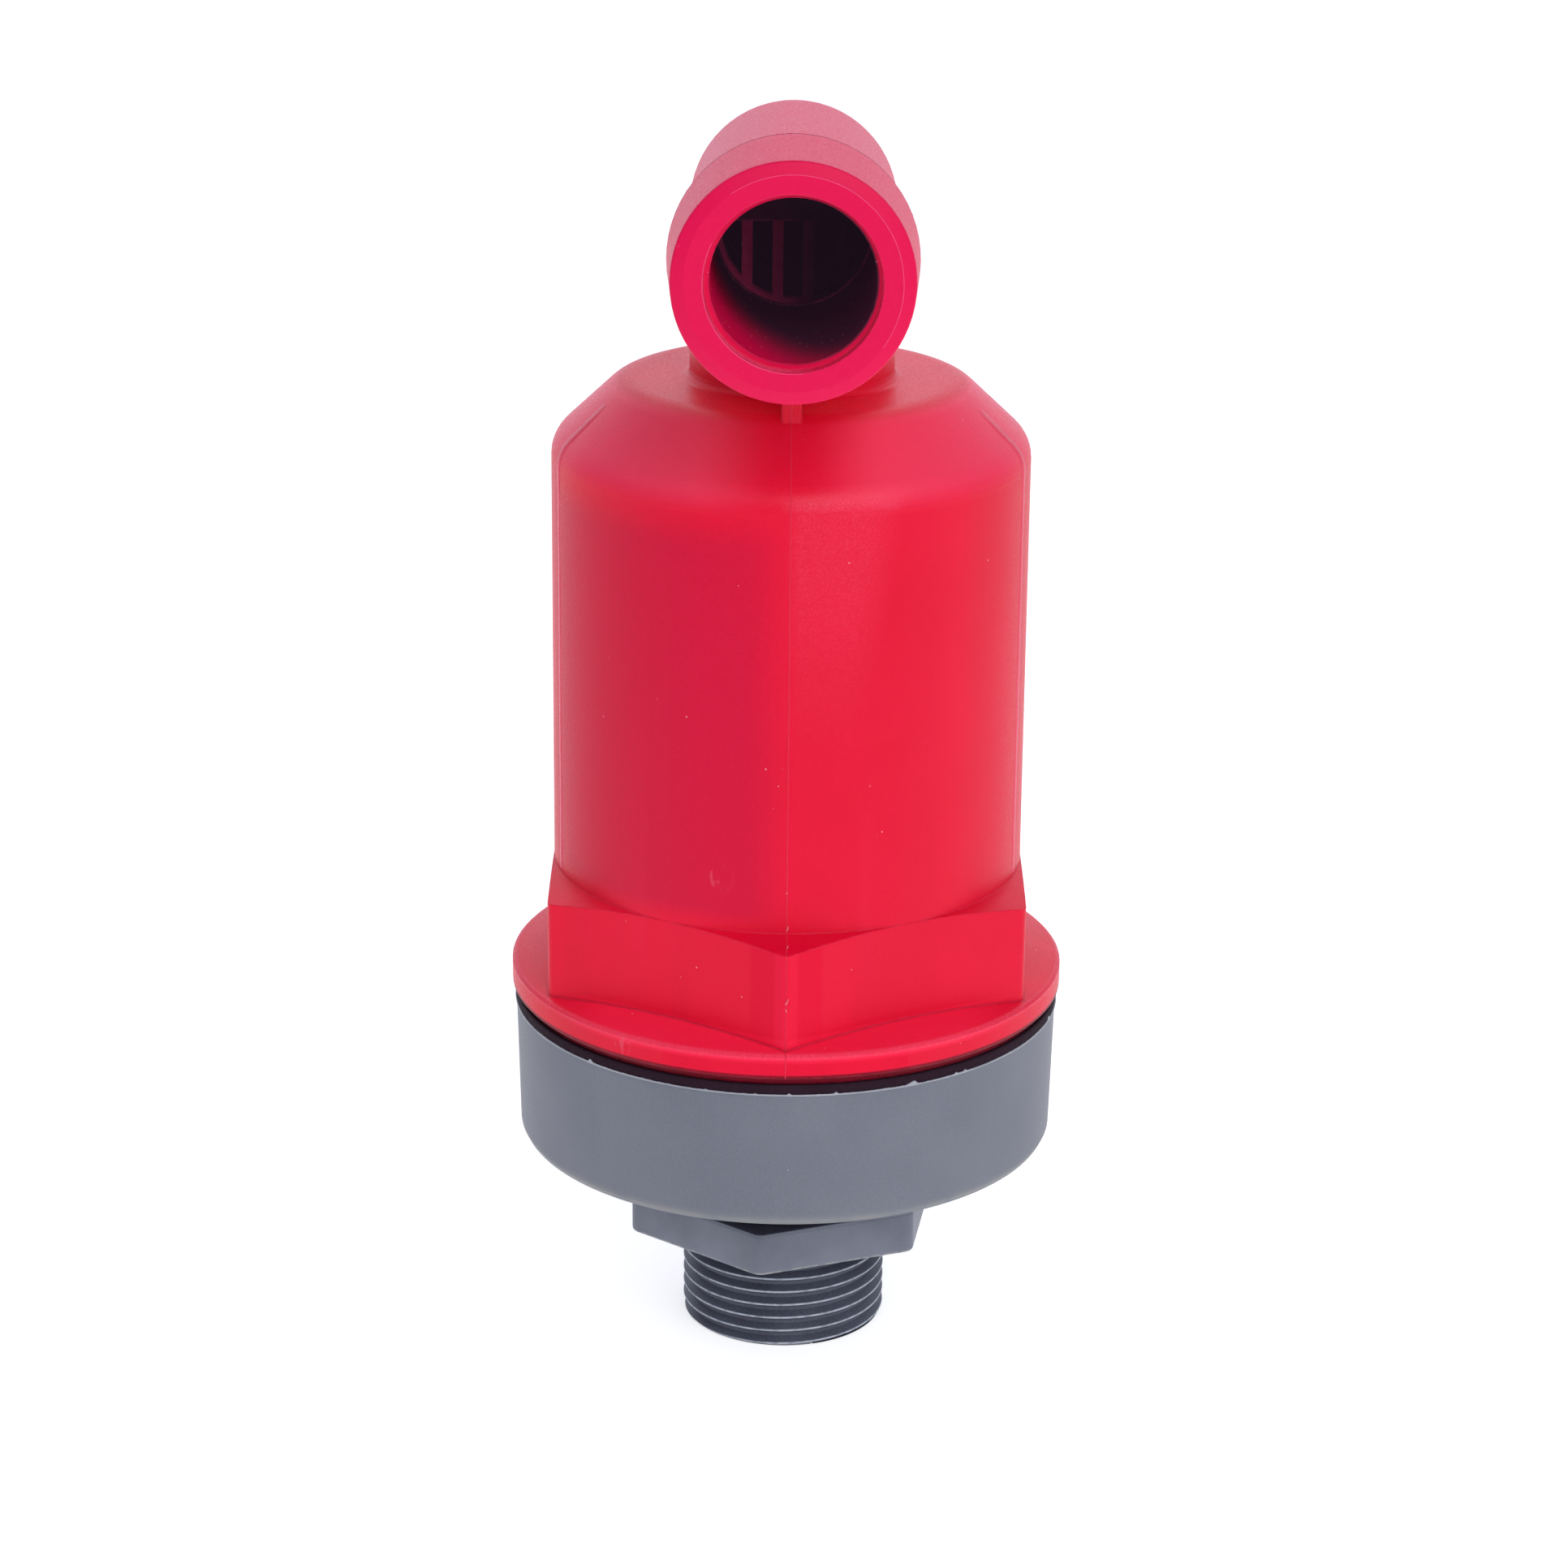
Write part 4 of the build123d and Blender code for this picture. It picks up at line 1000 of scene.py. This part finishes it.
def nipple_plastic(name):
    """The nipple's darker grey, lighter along the thread's crests from wear and a painted highlight, and
    along the hex's edges; painted shade on the hex's top face.
    """
    n = Nodes(name)
    patches = n.ramp(n.noise(9.0), 0.3, 0.7)
    grain = n.noise(0.3, detail=1.5)
    on_hex = n.past(n.z, THREAD_TOP_Z - 0.1, THREAD_TOP_Z + 0.1)
    shade = n.mix(on_hex, n.mix(patches, *THREAD_SHADES), n.mix(patches, *HEX_SHADES))
    # the crests: wear, with a painted highlight where they catch light
    crest_wear_and_highlight = n.all_of(
        n.past(n.from_axis, PIPE_MAJOR_R - 0.12, PIPE_MAJOR_R - 0.02),
        n.until(n.z, THREAD_TOP_Z - 1.0, THREAD_TOP_Z - 0.6),
        n.ramp(n.noise(1.4), 0.3, 0.6, 0.45, 1.0),
        0.85,
    )
    shade = n.mix(crest_wear_and_highlight, shade, THREAD_CREST_WEAR_AND_HIGHLIGHT)
    # painted shade on the hex's top face, which lies under the cup
    shade = n.mix(n.past(n.z, HEX_TOP_Z - 0.06, HEX_TOP_Z - 0.01), shade, HEX_TOP_SHADE)
    low_edge = n.all_of(
        n.past(n.z, THREAD_TOP_Z - 0.05, THREAD_TOP_Z + 0.05),
        n.until(n.z, THREAD_TOP_Z + 0.3, THREAD_TOP_Z + 0.6),
        n.ramp(n.noise(2.2), 0.4, 0.6),
        0.5,
    )
    shade = n.mix(low_edge, shade, HEX_LOW_EDGE)
    high_edge = n.all_of(
        n.past(n.z, HEX_TOP_Z - 0.4, HEX_TOP_Z - 0.2),
        n.until(n.z, HEX_TOP_Z - 0.12, HEX_TOP_Z - 0.06),
        0.35,
    )
    shade = n.mix(high_edge, shade, HEX_HIGH_EDGE)
    specks = n.all_of(n.specks(2.0, 0.03, 0.06), n.ramp(n.noise(4.0), 0.54, 0.64, 0.0, 0.7), on_hex)
    shade = n.mix(specks, shade, GREY_SPECK)
    shade = n.mix(n.ramp(grain, 0.35, 0.7, 0.0, 0.10), shade, GREY_GRAIN)
    n.set("Base Color", shade)
    n.set("Roughness", n.ramp(grain, 0.3, 0.7, 0.4, 0.54))
    n.set("IOR", PLASTIC_IOR)
    n.set("Normal", n.bump(grain, 0.5, 0.02))
    return n.material


def rubber(name):
    """Black rubber with a fine matte grain."""
    n = Nodes(name)
    n.set("Base Color", n.mix(n.noise(5.0, detail=3.0), *RUBBER_SHADES))
    n.set("Roughness", n.ramp(n.noise(0.6), 0.3, 0.7, 0.7, 0.85))
    n.set("Specular IOR Level", 0.12)
    n.set("Normal", n.bump(n.noise(0.35), 0.5, 0.03))
    return n.material


def plain_plastic(name, base, light):
    """Moulded plastic for the inner pieces."""
    n = Nodes(name)
    n.set("Base Color", n.mix(n.noise(8.0, detail=3.0), base, light))
    n.set("Roughness", n.ramp(n.noise(0.5), 0.3, 0.7, 0.39, 0.51))
    n.set("Normal", n.bump(n.noise(0.4), 0.4, 0.02))
    return n.material


def metal(name, base, light, roughness):
    """Turned or drawn metal with fine lines."""
    n = Nodes(name)
    lines = n.noise(0.8, place=n.stretched(0.2, 1.0, 1.0))
    n.set("Base Color", n.mix(n.noise(2.0, detail=3.0), base, light))
    n.set("Metallic", 1.0)
    n.set("Roughness", n.ramp(lines, 0.3, 0.7, roughness, roughness + 0.12))
    n.set("Normal", n.bump(n.noise(0.25, place=n.stretched(0.15, 1.0, 1.0)), 0.3, 0.01))
    return n.material


def stage_white(name):
    """The plain pale floor, which glows behind the vent so that it reads as white."""
    n = Nodes(name)
    n.set("Base Color", n.mix(n.noise(60.0), *FLOOR_SHADES))
    n.set("Roughness", 0.9)
    n.set("Emission Color", (1.0, 1.0, 1.0))
    n.set("Emission Strength", n.past(n.y, -420.0, -160.0, 0.0, FLOOR_GLOW))
    return n.material


def paint_nodes(materials):
    """Give every CAD node its material."""
    for name, key in NODE_MATERIALS.items():
        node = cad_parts[name]
        node.data.materials.clear()
        node.data.materials.append(materials[key])


NODE_MATERIALS = {
    "body": "red", "outlet_screen": "red_inside",
    "base_cup": "cup", "hex_nipple": "nipple",
    "body_gasket": "rubber", "nipple_washer": "rubber", "seat_o_ring": "rubber",
    "plug_seal": "rubber", "nozzle_o_ring": "rubber", "lever_pad": "rubber",
    "inlet_strainer": "dark", "float_cage": "dark", "plug_disc": "dark",
    "seat_ring": "white", "lever_bracket": "white", "lever": "white", "float_hanger": "white",
    "float_lower_shell": "white", "float_upper_shell": "white",
    "orifice_nozzle": "brass",
    "float_ballast": "steel", "bracket_screws": "steel", "pivot_pin": "steel", "link_pin": "steel",
}


# ---------------------------------------------------------------- stage

def make_stage(material):
    """A wide pale floor under the nipple."""
    bpy.ops.mesh.primitive_plane_add(size=6.0, location=(0, 0, 0))
    floor = bpy.context.object
    floor.name = "floor"
    floor.data.materials.append(material)


def make_world():
    """A white surround, brighter behind and above the vent and a little dimmer on its right."""
    world = bpy.data.worlds.new("surround")
    bpy.context.scene.world = world
    world.use_nodes = True
    tree = world.node_tree
    background = tree.nodes["Background"]
    background.inputs["Color"].default_value = (*WORLD_TINT, 1.0)
    direction = tree.nodes.new("ShaderNodeTexCoord")
    parts = tree.nodes.new("ShaderNodeSeparateXYZ")
    tree.links.new(direction.outputs["Generated"], parts.inputs["Vector"])

    def level(axis, low, high, low_out, high_out):
        """A smooth step along one axis of the direction that is looked in."""
        node = tree.nodes.new("ShaderNodeMapRange")
        node.interpolation_type = "SMOOTHSTEP"
        node.inputs["From Min"].default_value = low
        node.inputs["From Max"].default_value = high
        node.inputs["To Min"].default_value = low_out
        node.inputs["To Max"].default_value = high_out
        tree.links.new(parts.outputs[axis], node.inputs["Value"])
        return node

    upwards = level("Z", 0.4, 0.75, WORLD_BACK, WORLD_TOP)
    backwards = level("Y", 0.2, 0.95, WORLD_FRONT, WORLD_BACK)
    tree.links.new(upwards.outputs["Result"], backwards.inputs["To Max"])
    rightwards = level("X", 0.15, 0.8, 1.0, WORLD_RIGHT)
    strength = tree.nodes.new("ShaderNodeMath")
    strength.operation = "MULTIPLY"
    tree.links.new(backwards.outputs["Result"], strength.inputs[0])
    tree.links.new(rightwards.outputs["Result"], strength.inputs[1])
    tree.links.new(strength.outputs["Value"], background.inputs["Strength"])


def make_light(name, azimuth, elevation, distance, size, power):
    """A square soft light aimed at the middle of the vent; azimuth 0 is the camera's side."""
    data = bpy.data.lights.new(name, "AREA")
    data.size = size
    data.energy = power
    light = bpy.data.objects.new(name, data)
    bpy.context.scene.collection.objects.link(light)
    turn = math.radians(azimuth - 90)
    rise = math.radians(elevation)
    level_reach = math.cos(rise)
    away = Vector((math.cos(turn) * level_reach, math.sin(turn) * level_reach, math.sin(rise)))
    light.location = Vector((0, 0, LIGHT_AIM_Z * MM)) + away * distance
    light.rotation_euler = (-away).to_track_quat("-Z", "Y").to_euler()


def make_camera():
    """The camera at the photograph's viewpoint."""
    data = bpy.data.cameras.new("camera")
    data.sensor_width = 36.0
    data.lens = CAMERA_LENS
    data.clip_start = 0.01
    camera = bpy.data.objects.new("camera", data)
    bpy.context.scene.collection.objects.link(camera)
    camera.location = CAMERA_PLACE
    camera.rotation_euler = (math.radians(90 - CAMERA_PITCH), 0, 0)
    camera.rotation_euler.rotate_axis("Z", CAMERA_ROLL)
    bpy.context.scene.camera = camera


# ---------------------------------------------------------------- build

materials = {
    "red": red_plastic("red_plastic"),
    "red_inside": screen_plastic("red_plastic_inside"),
    "red_mark": red_plastic("red_plastic_mark", colour(230, 46, 76), colour(226, 40, 70), plain=True),
    # the slide lines' lighter pink is a painted highlight on the raised ridges
    "red_ridge_highlight": red_plastic("red_plastic_ridge_highlight", colour(246, 92, 118), colour(240, 80, 106), plain=True),
    "red_line": red_plastic("red_plastic_line", outlet=colour(240, 70, 120), plain=True),
    "red_torn": red_plastic("red_plastic_torn", colour(240, 150, 160), colour(236, 120, 136), plain=True),
    "cup_torn": grey_plastic("grey_plastic_torn", colour(160, 163, 174), colour(190, 193, 202)),
    "cup": grey_plastic("grey_plastic_cup", colour(102, 107, 120), colour(114, 118, 130)),
    "nipple": nipple_plastic("grey_plastic_nipple"),
    "rubber": rubber("black_rubber"),
    "dark": plain_plastic("dark_plastic", colour(44, 46, 52), colour(58, 60, 66)),
    "white": plain_plastic("white_plastic", colour(222, 222, 216), colour(234, 233, 228)),
    "brass": metal("brass", colour(196, 160, 84), colour(214, 182, 108), 0.25),
    "steel": metal("steel", colour(176, 178, 182), colour(200, 202, 206), 0.22),
}
paint_nodes(materials)
make_nipple(materials["nipple"])
body_surface = surface_of("body")
make_parting_line(body_surface, materials["red_mark"])
make_slide_lines(body_surface, materials["red_ridge_highlight"])
make_outlet_lines(materials["red_line"])
make_flash_nibs(body_surface, materials["red_torn"])
make_rim_burr(materials["cup_torn"])

make_stage(stage_white("floor_white"))
make_world()
for light in LIGHTS:
    make_light(*light)
make_camera()

bpy.context.scene.view_settings.view_transform = "Standard"
